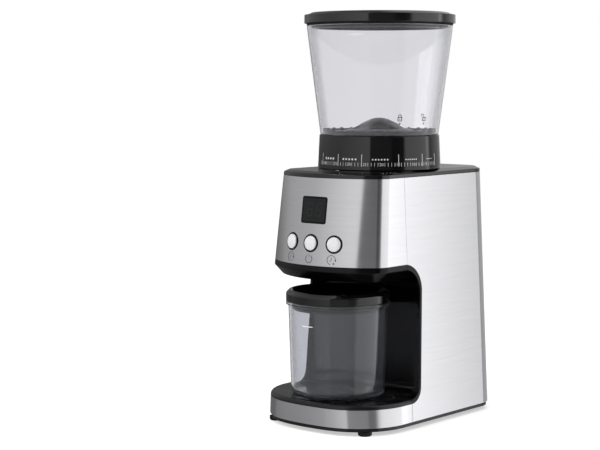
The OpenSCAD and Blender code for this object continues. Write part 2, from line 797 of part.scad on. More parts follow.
// ---- burrs ----
chamber_floor = 7;
work_z = chamber_z + chamber_floor;
work_h = 22;
carrier_z = work_z + work_h;
ring_seat_z = top_z + 2;
sleeve_r = 40.2;
sleeve_t = 2.7;
wide_z = carrier_z + 25;
port_w = 24;
port_h = 16;
module burr_chamber() {
    color("#202023") at_grind() difference() {
        translate([0, 0, chamber_z]) cylinder(r = chamber_r, h = ring_seat_z - gap - chamber_z);
        translate([0, 0, chamber_z - 1]) cylinder(r = bush_r, h = through);
        translate([0, 0, work_z]) cylinder(r = carrier_r - 3, h = beyond);
        translate([0, 0, carrier_z - 1]) cylinder(r = carrier_r + fit, h = beyond);
        translate([0, 0, wide_z]) cylinder(r = sleeve_r + fit, h = beyond);
        translate([-port_w / 2, -chamber_r - 1, work_z]) cube([port_w, chamber_r - 10, port_h]);
        // clear of the screw heads on the gearbox cover
        translate([0, -grind_y, 0]) at_cover_screws() translate([0, 0, chamber_z - 1])
            cylinder(r = screw_head_r + gap, h = 2 * screw_head_h);
    }
}
module shaft_bushes() {
    color("#b08d57") at_grind() {
        tube(bush_r, shaft_r + fit / 2, box_z, box_z + low_bush_h);
        tube(bush_r, shaft_r + fit / 2, chamber_z, work_z);
    }
}
cone_h = 20;
cone_z = carrier_z + 1;
nut_h = 4;
module burr_shaft() {
    color("silver") at_grind() translate([0, 0, box_z + 1])
        cylinder(r = shaft_r, h = cone_z + cone_h + nut_h - box_z);
}
module burr_nut() {
    color("silver") at_grind() translate([0, 0, cone_z + cone_h]) difference() {
        cylinder(r = shaft_r + 3, h = nut_h, $fn = 6);
        translate([0, 0, -1]) cylinder(r = shaft_r, h = nut_h + 2);
    }
}
module sweeper() {
    sweep_r = carrier_r - 4;
    hub_r = 11;
    blade_h = 14;
    blade_t = 2;
    color("#e8e4da") at_grind() difference() {
        union() {
            translate([0, 0, work_z + gap]) cylinder(r = hub_r, h = cone_z - work_z - gap);
            translate([0, 0, work_z + 1]) cylinder(r = sweep_r, h = 2);
            for (a = [0:60:300]) rotate([0, 0, a]) translate([hub_r - 1, -blade_t / 2, work_z + 1.5])
                cube([sweep_r - hub_r + 0.8, blade_t, blade_h]);
        }
        translate([0, 0, work_z]) cylinder(r = shaft_r, h = beyond);
    }
}
// square groove cut by its edge along a burr's face, at a radius and a lean
module burr_groove(r, lean, w) translate([r, 0, 0]) rotate([0, lean, 0]) rotate([0, 0, 45])
    translate([-w / 2, -w / 2, -6]) cube([w, w, 2 * cone_h]);
module cone_burr() {
    tip_r = 9;
    color("#8a8c90") at_grind() translate([0, 0, cone_z]) difference() {
        cylinder(r1 = cone_r, r2 = tip_r, h = cone_h);
        translate([0, 0, -1]) cylinder(r = shaft_r, h = cone_h + 2);
        for (a = [0:15:345]) rotate([0, 0, a]) burr_groove(cone_r + 0.4, -24, 1.6);
    }
}
ring_burr_h = 16;
ring_burr_z = cone_z + 0.3;
module ring_burr() {
    color("#8a8c90") at_grind() translate([0, 0, ring_burr_z]) difference() {
        cylinder(r = burr_r, h = ring_burr_h);
        translate([0, 0, -eps]) cylinder(r1 = cone_r + 1, r2 = cone_r + 5, h = ring_burr_h + 2 * eps);
        for (a = [0:12:348]) rotate([0, 0, a]) burr_groove(cone_r + 1, 14, 1.4);
    }
}
carrier_top = wide_z + 5;
key_w = 13;
module burr_carrier() {
    seat_top = ring_burr_z + ring_burr_h;
    funnel_z = seat_top + 2;
    color("#202023") at_grind() {
        difference() {
            translate([0, 0, ring_burr_z]) cylinder(r = carrier_r, h = carrier_top - ring_burr_z);
            translate([0, 0, ring_burr_z - 1]) cylinder(r = burr_r + fit / 2, h = ring_burr_h + 1);
            translate([0, 0, ring_burr_z - 1]) cylinder(r = burr_r - 1.5, h = beyond);
            translate([0, 0, funnel_z])
                cylinder(r1 = burr_r - 1.5, r2 = carrier_r - 2.5, h = carrier_top - funnel_z + eps);
            tube(ring_r, carrier_r - 1, wide_z + 1, carrier_top + 1);
        }
        for (a = [0, 120, 240]) rotate([0, 0, a]) intersection() {
            translate([-key_w / 2, -sleeve_r + gap, wide_z + 1.5]) cube([key_w, 7, 3.4]);
            tube(sleeve_r - gap, carrier_r - 2, wide_z, wide_z + 20);
        }
    }
}

// ---- adjusting ring and hopper ----
ring_z = top_z + 0.4;
ring_top = ring_z + ring_h;
ring_wall = 2.5;
ring_top_r = ring_r - 1.5;
collar_r = 43;
collar_t = 2.5;
neck_z = ring_top + 1;
tab_z = ring_seat_z + 18;
tab_h = 4;
module adjusting_ring() {
    color("#0e0e10") at_grind() difference() {
        union() {
            translate([0, 0, ring_z]) cone_tube(ring_r, ring_top_r, ring_wall, ring_h);
            tube(ring_r - ring_wall + 1, sleeve_r - sleeve_t, ring_seat_z, ring_seat_z + 3);
            tube(sleeve_r, sleeve_r - sleeve_t, wide_z + gap, ring_seat_z + bite);
            tube(collar_r + collar_t, collar_r, ring_seat_z + bite, neck_z - gap);
            for (a = [60, 180, 300]) sector(collar_r - 3, collar_r + 1, tab_z, tab_z + tab_h, a, 56);
        }
        for (a = [0, 120, 240]) rotate([0, 0, a]) translate([-key_w / 2 - 0.5, -sleeve_r - 1, wide_z])
            cube([key_w + 1, sleeve_t + 2, 7]);
    }
}
cam_h = 6.5;
dog_span = 12;
lug_turn = 8;
module cam_ring() {
    color("#3a3a3d") at_grind() difference() {
        tube(collar_r - gap, sleeve_r - sleeve_t, ring_seat_z + 3 + gap, ring_seat_z + 3 + gap + cam_h);
        for (a = [0, 120, 240])
            sector(neck_r - clear_t, collar_r + 5, ring_seat_z + 5, ring_top, a + lug_turn, dog_span + 1);
    }
}
hopper_z = neck_z + 0.3;
hopper_top = hopper_z + hopper_h;
neck_t = 3;
neck_r = 36.5;
throat_r = 28;
module hopper() {
    ledge_z = neck_z + neck_t;
    color([0.75, 0.77, 0.8, 0.35]) at_grind() {
        translate([0, 0, hopper_z]) cone_tube(hopper_foot_r, hopper_mouth_r, clear_t, hopper_h);
        tube(hopper_foot_r - 1, hopper_foot_r - 7, ledge_z, ledge_z + 2);
    }
}
module hopper_neck() {
    color("#161618") at_grind() {
        tube(hopper_foot_r - clear_t - gap, throat_r, neck_z, neck_z + neck_t);
        tube(neck_r, neck_r - clear_t, ring_seat_z + 4, neck_z + bite);
        for (a = [0, 120, 240]) {
            sector(neck_r - 1, collar_r - 0.4, tab_z - 5, tab_z - gap, a + lug_turn, 40);
            sector(neck_r - 1, collar_r - 0.6, ring_seat_z + 5.5, tab_z - 4, a + lug_turn, dog_span);
        }
    }
}
guard_r = 32;
module bean_guard() {
    guard_h = 13;
    color("#161618") at_grind() translate([0, 0, neck_z + neck_t]) difference() {
        cylinder(r1 = guard_r, r2 = 2, h = guard_h);
        translate([0, 0, -2]) cylinder(r1 = guard_r, r2 = 2, h = guard_h);
        for (a = [0:90:270]) sector(11, 28, -1, 20, a + 45, 62);
    }
}
seal_t = 1.5;
lid_z = hopper_top + gap + seal_t;
lid_h = 8.5;
plug_r = hopper_mouth_r - clear_t - 3.5;
module hopper_lid() {
    color("#121214") at_grind() {
        difference() {
            union() {
                translate([0, 0, lid_z]) cylinder(r = lid_r, h = lid_h);
                translate([0, 0, lid_z + lid_h]) cylinder(r1 = lid_r - 3, r2 = lid_r - 7, h = 2);
            }
            translate([0, 0, lid_z - 1]) cylinder(r = plug_r - clear_t, h = lid_h - 1);
        }
        tube(plug_r, plug_r - clear_t, lid_z - 10, lid_z + bite);
    }
}
module hopper_lid_seal() {
    color("#2a2a2c") at_grind() {
        tube(hopper_mouth_r, plug_r, lid_z - seal_t, lid_z);
        tube(plug_r + 2, plug_r, lid_z - 8, lid_z - seal_t / 2);
    }
}

// ---- chute and container ----
chute_w = 30;
chute_t = 2;
chute_top = work_z + port_h + chute_t;
module chute() {
    low = under_z + shell_t + 0.5 + gap;
    hollow_w = chute_w - 2 * chute_t;
    hollow_z = low + 3.7;
    color("#202023") difference() {
        union() {
            translate([-chute_w / 2, cup_y - chute_w / 2, low]) cube([chute_w, chute_w, chute_top - low]);
            translate([-chute_w / 2, cup_y, work_z - chute_t])
                cube([chute_w, grind_y - cup_y - 20, port_h + 2 * chute_t]);
            at_cup() translate([0, 0, under_z - 3]) cylinder(r = spout_r, h = 10);
        }
        at_grind() cylinder(r = chamber_r + eps, h = beyond);
        translate([-hollow_w / 2, cup_y - hollow_w / 2, hollow_z])
            cube([hollow_w, hollow_w, work_z + port_h - hollow_z]);
        translate([-port_w / 2, cup_y, work_z]) cube([port_w, grind_y - cup_y, port_h]);
        at_cup() translate([0, 0, under_z - 4]) cylinder(r = spout_r - 2, h = through);
        behind(-20);
    }
}
cup_z = floor_z + gap;
cup_top = cup_z + cup_h;
cup_floor = 3;
cup_flange_h = 3;
module grounds_container() {
    round_r = 4;
    color([0.55, 0.57, 0.6, 0.45]) at_cup() difference() {
        union() {
            translate([0, 0, cup_z + round_r])
                cylinder(r1 = cup_foot_r, r2 = cup_mouth_r, h = cup_h - round_r);
            translate([0, 0, cup_z]) rotate_extrude() intersection() {
                union() {
                    translate([cup_foot_r - round_r, round_r]) circle(r = round_r);
                    square([cup_foot_r - round_r, round_r]);
                }
                square([cup_foot_r, round_r + eps]);
            }
            translate([0, 0, cup_top - cup_flange_h]) cylinder(r = cup_lid_r, h = cup_flange_h);
        }
        translate([0, 0, cup_z + cup_floor])
            cylinder(r1 = cup_foot_r - clear_t, r2 = cup_mouth_r - clear_t, h = cup_h);
    }
}
lid_hole_r = 15;
lid_plug_r = cup_mouth_r - clear_t - 2.5;
cup_lid_z = cup_top + gap;
module container_lid() {
    bevel = 3;
    side_h = cup_lid_h - bevel;
    color("#121214") at_cup() difference() {
        union() {
            translate([0, 0, cup_lid_z]) cylinder(r = cup_lid_r, h = side_h);
            translate([0, 0, cup_lid_z + side_h])
                cylinder(r1 = cup_lid_r, r2 = cup_lid_r - bevel, h = bevel);
            tube(lid_plug_r, lid_plug_r - 2, cup_top - 8, cup_lid_z + 1);
        }
        translate([0, 0, cup_lid_z + 3]) cylinder(r1 = cup_lid_r - 12, r2 = cup_lid_r - 5, h = cup_lid_h);
        translate([0, 0, cup_top - 20]) cylinder(r = lid_hole_r, h = 60);
    }
}
module container_lid_seal() {
    color("#2a2a2c") at_cup() tube(lid_plug_r + 1.6, lid_plug_r, cup_top - 6, cup_top - 3);
}

// ---- rear board and cord inlet ----
// the board stands on edge beside the motor, this far in from the side of the foot
power_inset = 10;
power_x = power_inset - body_w / 2;
power_y = 16;
power_d = 58;
power_h = 70;
transformer = [16, 22, 18];
coil = [14, 18, 24];
capacitor_r = 8;
capacitor_h = 18;
parts_low = 14;
module power_board() {
    color("#1d6b3a") translate([power_x, power_y, band_z]) cube([board_t, power_d, power_h]);
}
// transformer, filter coil and capacitor
module power_parts() {
    color("#303036") translate([power_x + board_t, power_y, band_z]) {
        translate([0, 6, parts_low]) cube(transformer);
        translate([0, 36, parts_low]) cube(coil);
        translate([0, 16, power_h - 2 * capacitor_r]) rotate([0, 90, 0])
            cylinder(r = capacitor_r, h = capacitor_h);
    }
}
module cord_inlet() {
    color("#161618") translate([0, body_rear, inlet_z]) rotate([90, 0, 0]) difference() {
        union() {
            translate([0, 0, -1.5]) cylinder(r = inlet_r + 3, h = 1.5);
            cylinder(r = inlet_r, h = 12);
        }
        translate([0, 0, -5]) cylinder(r = inlet_r - 2.2, h = 30);
    }
}

base_plate();
feet();
base_screws();
base_band();
base_tray();
bay_liner();
rear_wrap();
front_panel();
head_chin();
top_cover();
panel_frame();
display_window();
display_module();
button_bezels();
timer_minus_button();
power_button();
timer_plus_button();
control_board();
tact_switches();
chassis();
motor_dampers();
gearbox_base();
gearbox_cover();
gearbox_screws();
idler_pin();
idler_gear();
final_gear();
motor_pinion();
motor_can();
motor_stator();
motor_end_bell();
motor_brushes();
motor_rotor();
motor_fan();
burr_chamber();
shaft_bushes();
burr_shaft();
burr_nut();
sweeper();
cone_burr();
ring_burr();
burr_carrier();
adjusting_ring();
cam_ring();
hopper();
hopper_neck();
bean_guard();
hopper_lid();
hopper_lid_seal();
chute();
grounds_container();
container_lid();
container_lid_seal();
power_board();
power_parts();
cord_inlet();
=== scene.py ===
"""Finished surfaces, fine shapes and the studio of a conical burr coffee grinder."""

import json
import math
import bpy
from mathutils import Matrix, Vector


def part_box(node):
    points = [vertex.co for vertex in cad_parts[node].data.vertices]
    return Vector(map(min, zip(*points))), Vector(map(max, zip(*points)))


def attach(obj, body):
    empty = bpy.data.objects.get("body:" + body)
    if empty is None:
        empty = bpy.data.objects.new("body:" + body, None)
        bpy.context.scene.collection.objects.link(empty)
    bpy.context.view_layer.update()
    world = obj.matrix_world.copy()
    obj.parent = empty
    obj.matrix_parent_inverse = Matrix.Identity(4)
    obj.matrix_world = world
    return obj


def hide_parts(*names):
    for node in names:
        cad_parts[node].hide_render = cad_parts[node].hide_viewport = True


bl_info = {
    "name": "Burr grinder finishes",
    "version": (1, 0, 0),
    "blender": (4, 5, 0),
    "location": "View3D > Sidebar > Grinder",
    "description": "Dresses the grinder's frame with its skins, clear parts, marks and studio",
    "category": "Object",
}

from types import SimpleNamespace

import bmesh
import bpy
from bpy.props import FloatProperty, PointerProperty, StringProperty
from mathutils import Matrix, Vector
from mathutils.kdtree import KDTree

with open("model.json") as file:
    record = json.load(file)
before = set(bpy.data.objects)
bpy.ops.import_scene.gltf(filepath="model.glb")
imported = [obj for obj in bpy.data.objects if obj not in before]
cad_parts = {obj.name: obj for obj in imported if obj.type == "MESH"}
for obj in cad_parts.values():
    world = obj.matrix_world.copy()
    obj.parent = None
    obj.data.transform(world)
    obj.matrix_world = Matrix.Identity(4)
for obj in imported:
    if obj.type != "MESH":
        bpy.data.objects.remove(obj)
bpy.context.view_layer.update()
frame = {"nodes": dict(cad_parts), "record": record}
MM = 0.001


def level(node, end):
    """Lowest (0) or highest (1) point of a frame node, in millimetres."""
    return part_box(node)[end][2] / MM


# ---------------------------------------------------------------- sizes


def length(name, default, what):
    return FloatProperty(name=name, description=what, default=default * MM, unit="LENGTH", precision=4)


def angle(name, default, what):
    return FloatProperty(name=name, description=what, default=math.radians(default), subtype="ANGLE")


def paint(name, default, what):
    return StringProperty(name=name, description=what + ", as an sRGB hex value", default=default)


class BodySizes(bpy.types.PropertyGroup):
    half_w: length("Half width", 74, "Half width of the body at floor level")
    draft: angle("Side draft", 3, "Taper of each side wall")
    front: length("Base front", -107, "Front of the base")
    rear: length("Rear wall", 105.5, "Rear wall of the body")
    seam: length("Seam", -36.2, "Seam between the front skins and the rear wrap")
    gap: length("Seam gap", 0.15, "Half of the gap left at the seam")
    panel: length("Panel front", -100.1, "Front of the panel at its lower edge")
    lean: angle("Panel lean", 7.6, "Backward lean of the front panel")
    crown: length("Panel crown", 95, "Crown radius of the panel")
    corner: length("Head corner", 20, "Radius of the head's front corners")
    base_crown: length("Base crown", 185, "Crown radius of the base front")
    base_corner: length("Base corner", 56, "Radius of the base's front corners")
    rear_corner: length("Rear corner", 25, "Radius of the rear corners")
    skin: length("Skin", 1, "Thickness of the steel skins")
    shell: length("Shell", 2.5, "Thickness of the plastic shells")


class AxisSizes(bpy.types.PropertyGroup):
    grind: length("Burr axis", 6, "Place of the burr shaft, the ring and the hopper")
    cup: length("Container axis", -56.7, "Place of the container's axis")
    ring_foot: length("Ring foot", 59.3, "Outer radius of the adjusting ring at its foot")
    ring_top: length("Ring top", 57.8, "Outer radius of the adjusting ring at its top")
    foot: length("Hopper foot", 57, "Outer radius of the hopper's foot")
    mouth: length("Hopper mouth", 70.4, "Outer radius of the hopper's mouth")
    lid: length("Hopper lid", 72.6, "Outer radius of the hopper lid")
    clear: length("Clear wall", 2.2, "Thickness of the clear walls")
    cup_foot: length("Container foot", 44.6, "Outer radius of the container's foot")
    cup_mouth: length("Container mouth", 47.4, "Outer radius of the container's mouth")
    cup_lid: length("Container lid", 49.5, "Outer radius of the container's lid")


class PanelSizes(bpy.types.PropertyGroup):
    pitch: length("Button pitch", 25, "Distance between the push buttons")
    buttons: length("Button height", 175.5, "Height of the row of buttons")
    bezel: length("Bezel", 8.4, "Radius of a button's bezel")
    button: length("Button", 6.9, "Radius of a button")
    icons: length("Icon height", 161.3, "Height of the row of icons")
    window_w: length("Window width", 29.5, "Width of the display window")
    window_h: length("Window height", 25, "Height of the display window")
    window: length("Window middle", 206, "Height of the display's middle")


class Finishes(bpy.types.PropertyGroup):
    steel: paint("Steel", "#E2E2E5", "Brushed stainless steel")
    black: paint("Black", "#08080A", "Black moulded plastic")
    clear: paint("Clear", "#F4F4F7", "Clear hopper plastic")
    smoke: paint("Smoke", "#E8E9EE", "Smoke tinted container plastic")
    print_white: paint("White print", "#E6E6EA", "White pad printing")
    print_grey: paint("Grey print", "#3C3C40", "Dark grey pad printing")


GROUPS = {"body": BodySizes, "axes": AxisSizes, "panel": PanelSizes, "finishes": Finishes}


def sizes(group):
    """The lengths of one group in millimetres; its angles, in radians, and its colours stay as they are."""
    held = getattr(bpy.context.scene, "grinder_" + group)
    found = SimpleNamespace()
    for key in GROUPS[group].__annotations__:
        plain = group == "finishes" or key in ("draft", "lean")
        setattr(found, key, getattr(held, key) if plain else getattr(held, key) / MM)
    return found


# ---------------------------------------------------------------- outlines


def arc(centre, radius, start, end, steps):
    """Points along an arc; angle 0 points to the front and 90 degrees to the right."""
    return [
        (centre[0] + radius * math.sin(a), centre[1] - radius * math.cos(a))
        for a in (start + (end - start) * i / steps for i in range(steps + 1))
    ]


def half_w(z):
    s = sizes("body")
    return s.half_w - z * math.tan(s.draft)


def panel_y(z):
    s = sizes("body")
    return s.panel + (z - level("front_panel", 0)) * math.tan(s.lean)


def panel_face(x, z):
    crown = sizes("body").crown
    return panel_y(z) + crown - math.sqrt(crown * crown - x * x)


def quarter(h, front, crown, corner):
    """Right half of a crowned front, from its middle to the straight side."""
    cy = front + crown - math.sqrt((crown - corner) ** 2 - (h - corner) ** 2)
    turn = math.atan2(h - corner, front + crown - cy)
    bend = arc((h - corner, cy), corner, turn, math.pi / 2, 14)
    return arc((0, front + crown), crown, 0, turn, 20) + bend[1:]


def mirrored(points):
    return [(-x, y) for x, y in reversed(points)]


def front_chain(kind, z, inset=0, end=None):
    """Open outline of the head's or base's front, from the left seam round to the right one."""
    s = sizes("body")
    end = s.seam if end is None else end
    if kind == "head":
        half = quarter(half_w(z) - inset, panel_y(z) + inset, s.crown - inset, s.corner - inset)
    else:
        half = quarter(half_w(z) - inset, s.front + inset, s.base_crown - inset, s.base_corner - inset)
    half.append((half_w(z) - inset, end))
    return [(x, y, z) for x, y in mirrored(half) + half[1:]]


def rear_chain(z, inset=0, start=None):
    """Open outline of the body's rear, from the right seam round to the left one."""
    s = sizes("body")
    h, r = half_w(z) - inset, s.rear_corner - inset
    start = s.seam if start is None else start
    half = [(h, start)] + arc((h - r, s.rear - inset - r), r, math.pi / 2, math.pi, 14)
    return [(x, y, z) for x, y in half + mirrored(half)]


def full_ring(kind, z, inset=0):
    """Closed outline of the head or base."""
    front = front_chain(kind, z, inset)
    return front[1:-1] + [(x, y, z) for x, y, _ in rear_chain(z, inset)[1:-1]]


def rounded(points, radii, steps=5):
    """A closed profile whose corners are rounded; radii maps a corner's number to its radius."""
    out = []
    for i, p in enumerate(points):
        r = radii.get(i, 0) if isinstance(radii, dict) else radii
        a, b = Vector(points[i - 1]) - Vector(p), Vector(points[(i + 1) % len(points)]) - Vector(p)
        if not r or a.length < 1e-6 or b.length < 1e-6:
            out.append(tuple(p))
            continue
        half = a.angle(b) / 2
        if half > math.radians(88):
            out.append(tuple(p))
            continue
        cut = min(r / math.tan(half), 0.49 * a.length, 0.49 * b.length)
        r = cut * math.tan(half)
        centre = Vector(p) + (a.normalized() + b.normalized()).normalized() * (r / math.sin(half))
        first, last = Vector(p) + a.normalized() * cut, Vector(p) + b.normalized() * cut
        u, v = first - centre, last - centre
        turn = u.angle_signed(v)
        for k in range(steps + 1):
            t = -turn * k / steps
            out.append((centre.x + u.x * math.cos(t) - u.y * math.sin(t),
                        centre.y + u.x * math.sin(t) + u.y * math.cos(t)))
    return out


# ---------------------------------------------------------------- modelling by hand


def deselect():
    if bpy.context.object and bpy.context.object.mode != "OBJECT":
        bpy.ops.object.mode_set(mode="OBJECT")
    bpy.ops.object.select_all(action="DESELECT")


def begin(name, point):
    """A new mesh that is a single vertex at a point."""
    deselect()
    bpy.ops.mesh.primitive_plane_add(size=MM)
    obj = bpy.context.object
    obj.name = obj.data.name = name
    bpy.ops.object.mode_set(mode="EDIT")
    bpy.ops.mesh.select_mode(type="VERT")
    bpy.ops.mesh.merge(type="CENTER")
    bpy.ops.transform.translate(value=Vector(point) * MM)
    return obj


def trace(points):
    """Extrudes the chosen vertex along the points."""
    for a, b in zip(points, points[1:]):
        bpy.ops.mesh.extrude_vertices_move(TRANSFORM_OT_translate={"value": (Vector(b) - Vector(a)) * MM})


def pick(obj, numbers):
    """Selects the vertices of the edited mesh that have one of the numbers."""
    bpy.ops.mesh.select_mode(type="VERT")
    bpy.ops.mesh.select_all(action="DESELECT")
    mesh = bmesh.from_edit_mesh(obj.data)
    mesh.verts.index_update()
    for vertex in mesh.verts:
        if vertex.index in numbers:
            vertex.select_set(True)
    mesh.select_flush_mode()
    bmesh.update_edit_mesh(obj.data)


def tidy(obj, merge=1e-7):
    """Merges doubles, turns the faces outward and leaves edit mode."""
    bpy.ops.mesh.select_mode(type="VERT")
    bpy.ops.mesh.select_all(action="SELECT")
    bpy.ops.mesh.remove_doubles(threshold=merge)
    bpy.ops.mesh.normals_make_consistent(inside=False)
    bpy.ops.object.mode_set(mode="OBJECT")
    return obj


def carry(obj, before, after):
    """Moves each chosen vertex from its place in one ring to its place in the next."""
    tree = KDTree(len(before))
    for i, point in enumerate(before):
        tree.insert(Vector(point) * MM, i)
    tree.balance()
    mesh = bmesh.from_edit_mesh(obj.data)
    for vertex in mesh.verts:
        if vertex.select:
            vertex.co = Vector(after[tree.find(vertex.co)[1]]) * MM
    bmesh.update_edit_mesh(obj.data)


def loft(name, rings, closed=True):
    """A skin drawn out from ring to ring: capped at both ends, or a sheet where the rings are open."""
    obj = begin(name, rings[0][0])
    count = len(rings[0])
    trace(rings[0])
    if closed:
        pick(obj, (0, count - 1))
        bpy.ops.mesh.edge_face_add()
    bpy.ops.mesh.select_mode(type="EDGE")
    bpy.ops.mesh.select_all(action="SELECT")
    for before, after in zip(rings, rings[1:]):
        bpy.ops.mesh.extrude_edges_move()
        carry(obj, before, after)
    if closed:
        bpy.ops.mesh.edge_face_add()
        pick(obj, range(count))
        bpy.ops.mesh.edge_face_add()
    return tidy(obj)


def lathe(name, profile, centre=0, steps=128, closed=True):
    """A turned piece: its profile of radii and heights is spun round an upright axis at y = centre."""
    points = [(r, centre, z) for r, z in profile]
    obj = begin(name, points[0])
    trace(points + points[:1] if closed else points)
    bpy.ops.mesh.select_all(action="SELECT")
    bpy.ops.mesh.remove_doubles(threshold=1e-7)
    bpy.ops.mesh.spin(steps=steps, angle=2 * math.pi, center=(0, centre * MM, 0), axis=(0, 0, 1))
    return tidy(obj, 2e-7)


def rod(name, radius, low, high, centre=0, steps=128):
    """A plain round rod that cuts a hole."""
    return lathe(name, [(0, low), (radius, low), (radius, high), (0, high)], centre, steps, False)


def prism(name, outline, low, high):
    """A straight block of an outline in the XY plane."""
    return loft(name, [[(x, y, z) for x, y in outline] for z in (low, high)])


def choose(obj):
    deselect()
    obj.select_set(True)
    bpy.context.view_layer.objects.active = obj


def modify(obj, kind, **settings):
    """Adds a modifier to a piece and applies it."""
    choose(obj)
    modifier = obj.modifiers.new(kind.title(), kind)
    for key, value in settings.items():
        setattr(modifier, key, value)
    bpy.ops.object.modifier_apply(modifier=modifier.name)
    return obj


def plate(name, rings, thickness):
    """A sheet drawn out from ring to ring, which gets its thickness inwards."""
    obj = loft(name, rings, closed=False)
    return modify(obj, "SOLIDIFY", thickness=thickness * MM, offset=-1, use_even_offset=True)


def cut(obj, tool, operation="DIFFERENCE"):
    """Cuts a piece with another, which is used up."""
    modify(obj, "BOOLEAN", object=tool, operation=operation, solver="EXACT")
    bpy.data.objects.remove(tool, do_unlink=True)
    return obj


def place(obj, matrix):
    """Moves a piece and puts the move into its mesh."""
    obj.matrix_world = matrix
    choose(obj)
    bpy.ops.object.transform_apply(location=True, rotation=True, scale=True)
    return obj


def join(pieces, name):
    deselect()
    for obj in pieces:
        obj.select_set(True)
    bpy.context.view_layer.objects.active = pieces[0]
    bpy.ops.object.join()
    pieces[0].name = pieces[0].data.name = name
    return pieces[0]


def soften(obj, radius=0.4, segments=3, sharp=32):
    """Rounds the edges of a piece and shades it smooth up to a sharp edge."""
    if radius:
        modify(obj, "BEVEL", width=radius * MM, segments=segments, limit_method="ANGLE",
               angle_limit=math.radians(sharp), harden_normals=False, use_clamp_overlap=True)
    choose(obj)
    bpy.ops.object.shade_smooth_by_angle(angle=math.radians(sharp))
    modify(obj, "WEIGHTED_NORMAL", keep_sharp=True)
    return obj


def done(obj, body, finish_name, slot, *nodes):
    """Gives a piece its finish, its body and the frame nodes that it stands for; the slot is not used."""
    obj.data.materials.clear()
    obj.data.materials.append(finish(finish_name))
    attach(obj, body)
    if nodes:
        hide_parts(*nodes)
    return obj


# ---------------------------------------------------------------- base and body


class GRINDER_OT_base(bpy.types.Operator):
    """Makes the foot trim, the steel base band and the black tray on it"""
    bl_idname = "grinder.base"
    bl_label = "Base"

    def execute(self, context):
        s = sizes("body")
        band, tray, floor = level("base_band", 0), level("base_band", 1), level("base_tray", 1)
        ends = [front_chain("base", z, 0, s.seam - s.gap) for z in (band, tray)]
        skin = plate("base_band_skin", ends, s.skin)
        done(soften(skin, 0.2, 2), "body", "brushed_steel", "brushed_skin", "base_band")
        # height and inset of each outline: over the rounded rim, behind the band and back up inside
        inside = s.skin + s.shell
        rows = [(floor, 2.6), (floor - 0.5, 1.4), (floor - 1.3, 0.5), (floor - 2.3, 0.05), (tray + 0.3, 0),
                (tray + 0.05, 0.15), (tray, 0.5), (tray, s.skin), (band, s.skin), (band, inside),
                (floor - s.shell, inside)]
        top = loft("tray_top", [front_chain("base", z, inset) for z, inset in rows])
        done(soften(top, 0.3, 2, 50), "body", "satin_abs", "black_moulding", "base_tray")
        low_foot, high_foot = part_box("feet")
        reach, radius, tall = high_foot[0] / MM, 6.5, high_foot[2] / MM
        outline = [(0, 0), (radius - 1, 0), (radius, 1), (radius, tall), (0, tall)]
        pads = []
        for x in (radius - reach, reach - radius):
            for y in (low_foot[1] / MM + radius, high_foot[1] / MM - radius):
                pad = lathe("foot_pad", rounded(outline, {1: 0.4, 2: 0.5}, 4), steps=48, closed=False)
                pads.append(place(pad, Matrix.Translation((x * MM, y * MM, 0))))
        done(soften(join(pads, "rubber_feet"), 0), "body", "rubber", "rubber_black", "feet")
        return {"FINISHED"}


class GRINDER_OT_wrap(bpy.types.Operator):
    """Makes the steel wrap round the sides and back, cut out for the container bay"""
    bl_idname = "grinder.wrap"
    bl_label = "Rear wrap"

    def execute(self, context):
        s = sizes("body")
        low, high = level("rear_wrap", 0), level("rear_wrap", 1)
        wrap = plate("steel_wrap", [rear_chain(z, 0, s.seam + s.gap) for z in (low, high)], s.skin)
        cut(wrap, bay_slab("bay_cut", -2 * s.half_w, 2 * s.half_w, *bay_outline_sizes(True, True)))
        inlet_r, inlet_z, bore, flange = 6, 22, 3.8, 9
        inlet = Matrix.Translation((0, s.rear * MM, inlet_z * MM))
        hole = rod("inlet_cut", inlet_r + 0.15, -8, 8, steps=48)
        cut(wrap, place(hole, inlet @ Matrix.Rotation(math.pi / 2, 4, "X")))
        done(soften(wrap, 0.2, 2), "body", "brushed_steel", "brushed_skin", "rear_wrap")
        outline = [(bore, -12), (bore, 1.5), (flange, 1.5), (flange, 0), (inlet_r, 0), (inlet_r, -12)]
        gland = lathe("cord_gland", rounded(outline, {1: 0.6, 2: 0.9, 3: 0.2}), steps=64)
        place(gland, inlet @ Matrix.Rotation(-math.pi / 2, 4, "X"))
        done(soften(gland, 0), "body", "satin_abs", "black_moulding", "cord_inlet")
        return {"FINISHED"}


# ---------------------------------------------------------------- container bay


def bay_outline_sizes(end, walled):
    """Rear edge, top, bottom, upper and lower radius and slant of the bay seen from the side."""
    under, chin = level("head_chin", 0), level("head_chin", 1)
    wall = 3 if walled else 0
    bottom = level("base_tray", 1) - wall * 4.3 / 3
    if end:
        return -17.5 + wall, chin - 5 + wall * 5 / 3, bottom, 22 + wall, 12 + wall, math.radians(3)
    return -4 + wall, under + wall, bottom, 8 + wall, 5 + wall, 0


def bay_ring(x, rear, top, low, top_r, low_r, slant, steps=16):
    """Outline of the bay at one place across the body; it runs out in front of the base."""
    lean = (top - low) * math.tan(slant)
    ahead = -214
    turns = [math.pi / 2 * i / steps for i in range(steps + 1)]
    lower = [(rear - lean - low_r + low_r * math.sin(a), low + low_r - low_r * math.cos(a)) for a in turns]
    upper = [(rear - top_r + top_r * math.cos(a), top - top_r + top_r * math.sin(a)) for a in turns]
    return [(x, y, z) for y, z in [(ahead, low)] + lower + upper + [(ahead, top)]]


def bay_slab(name, x0, x1, *outline):
    return loft(name, [bay_ring(x, *outline) for x in (x0, x1)])


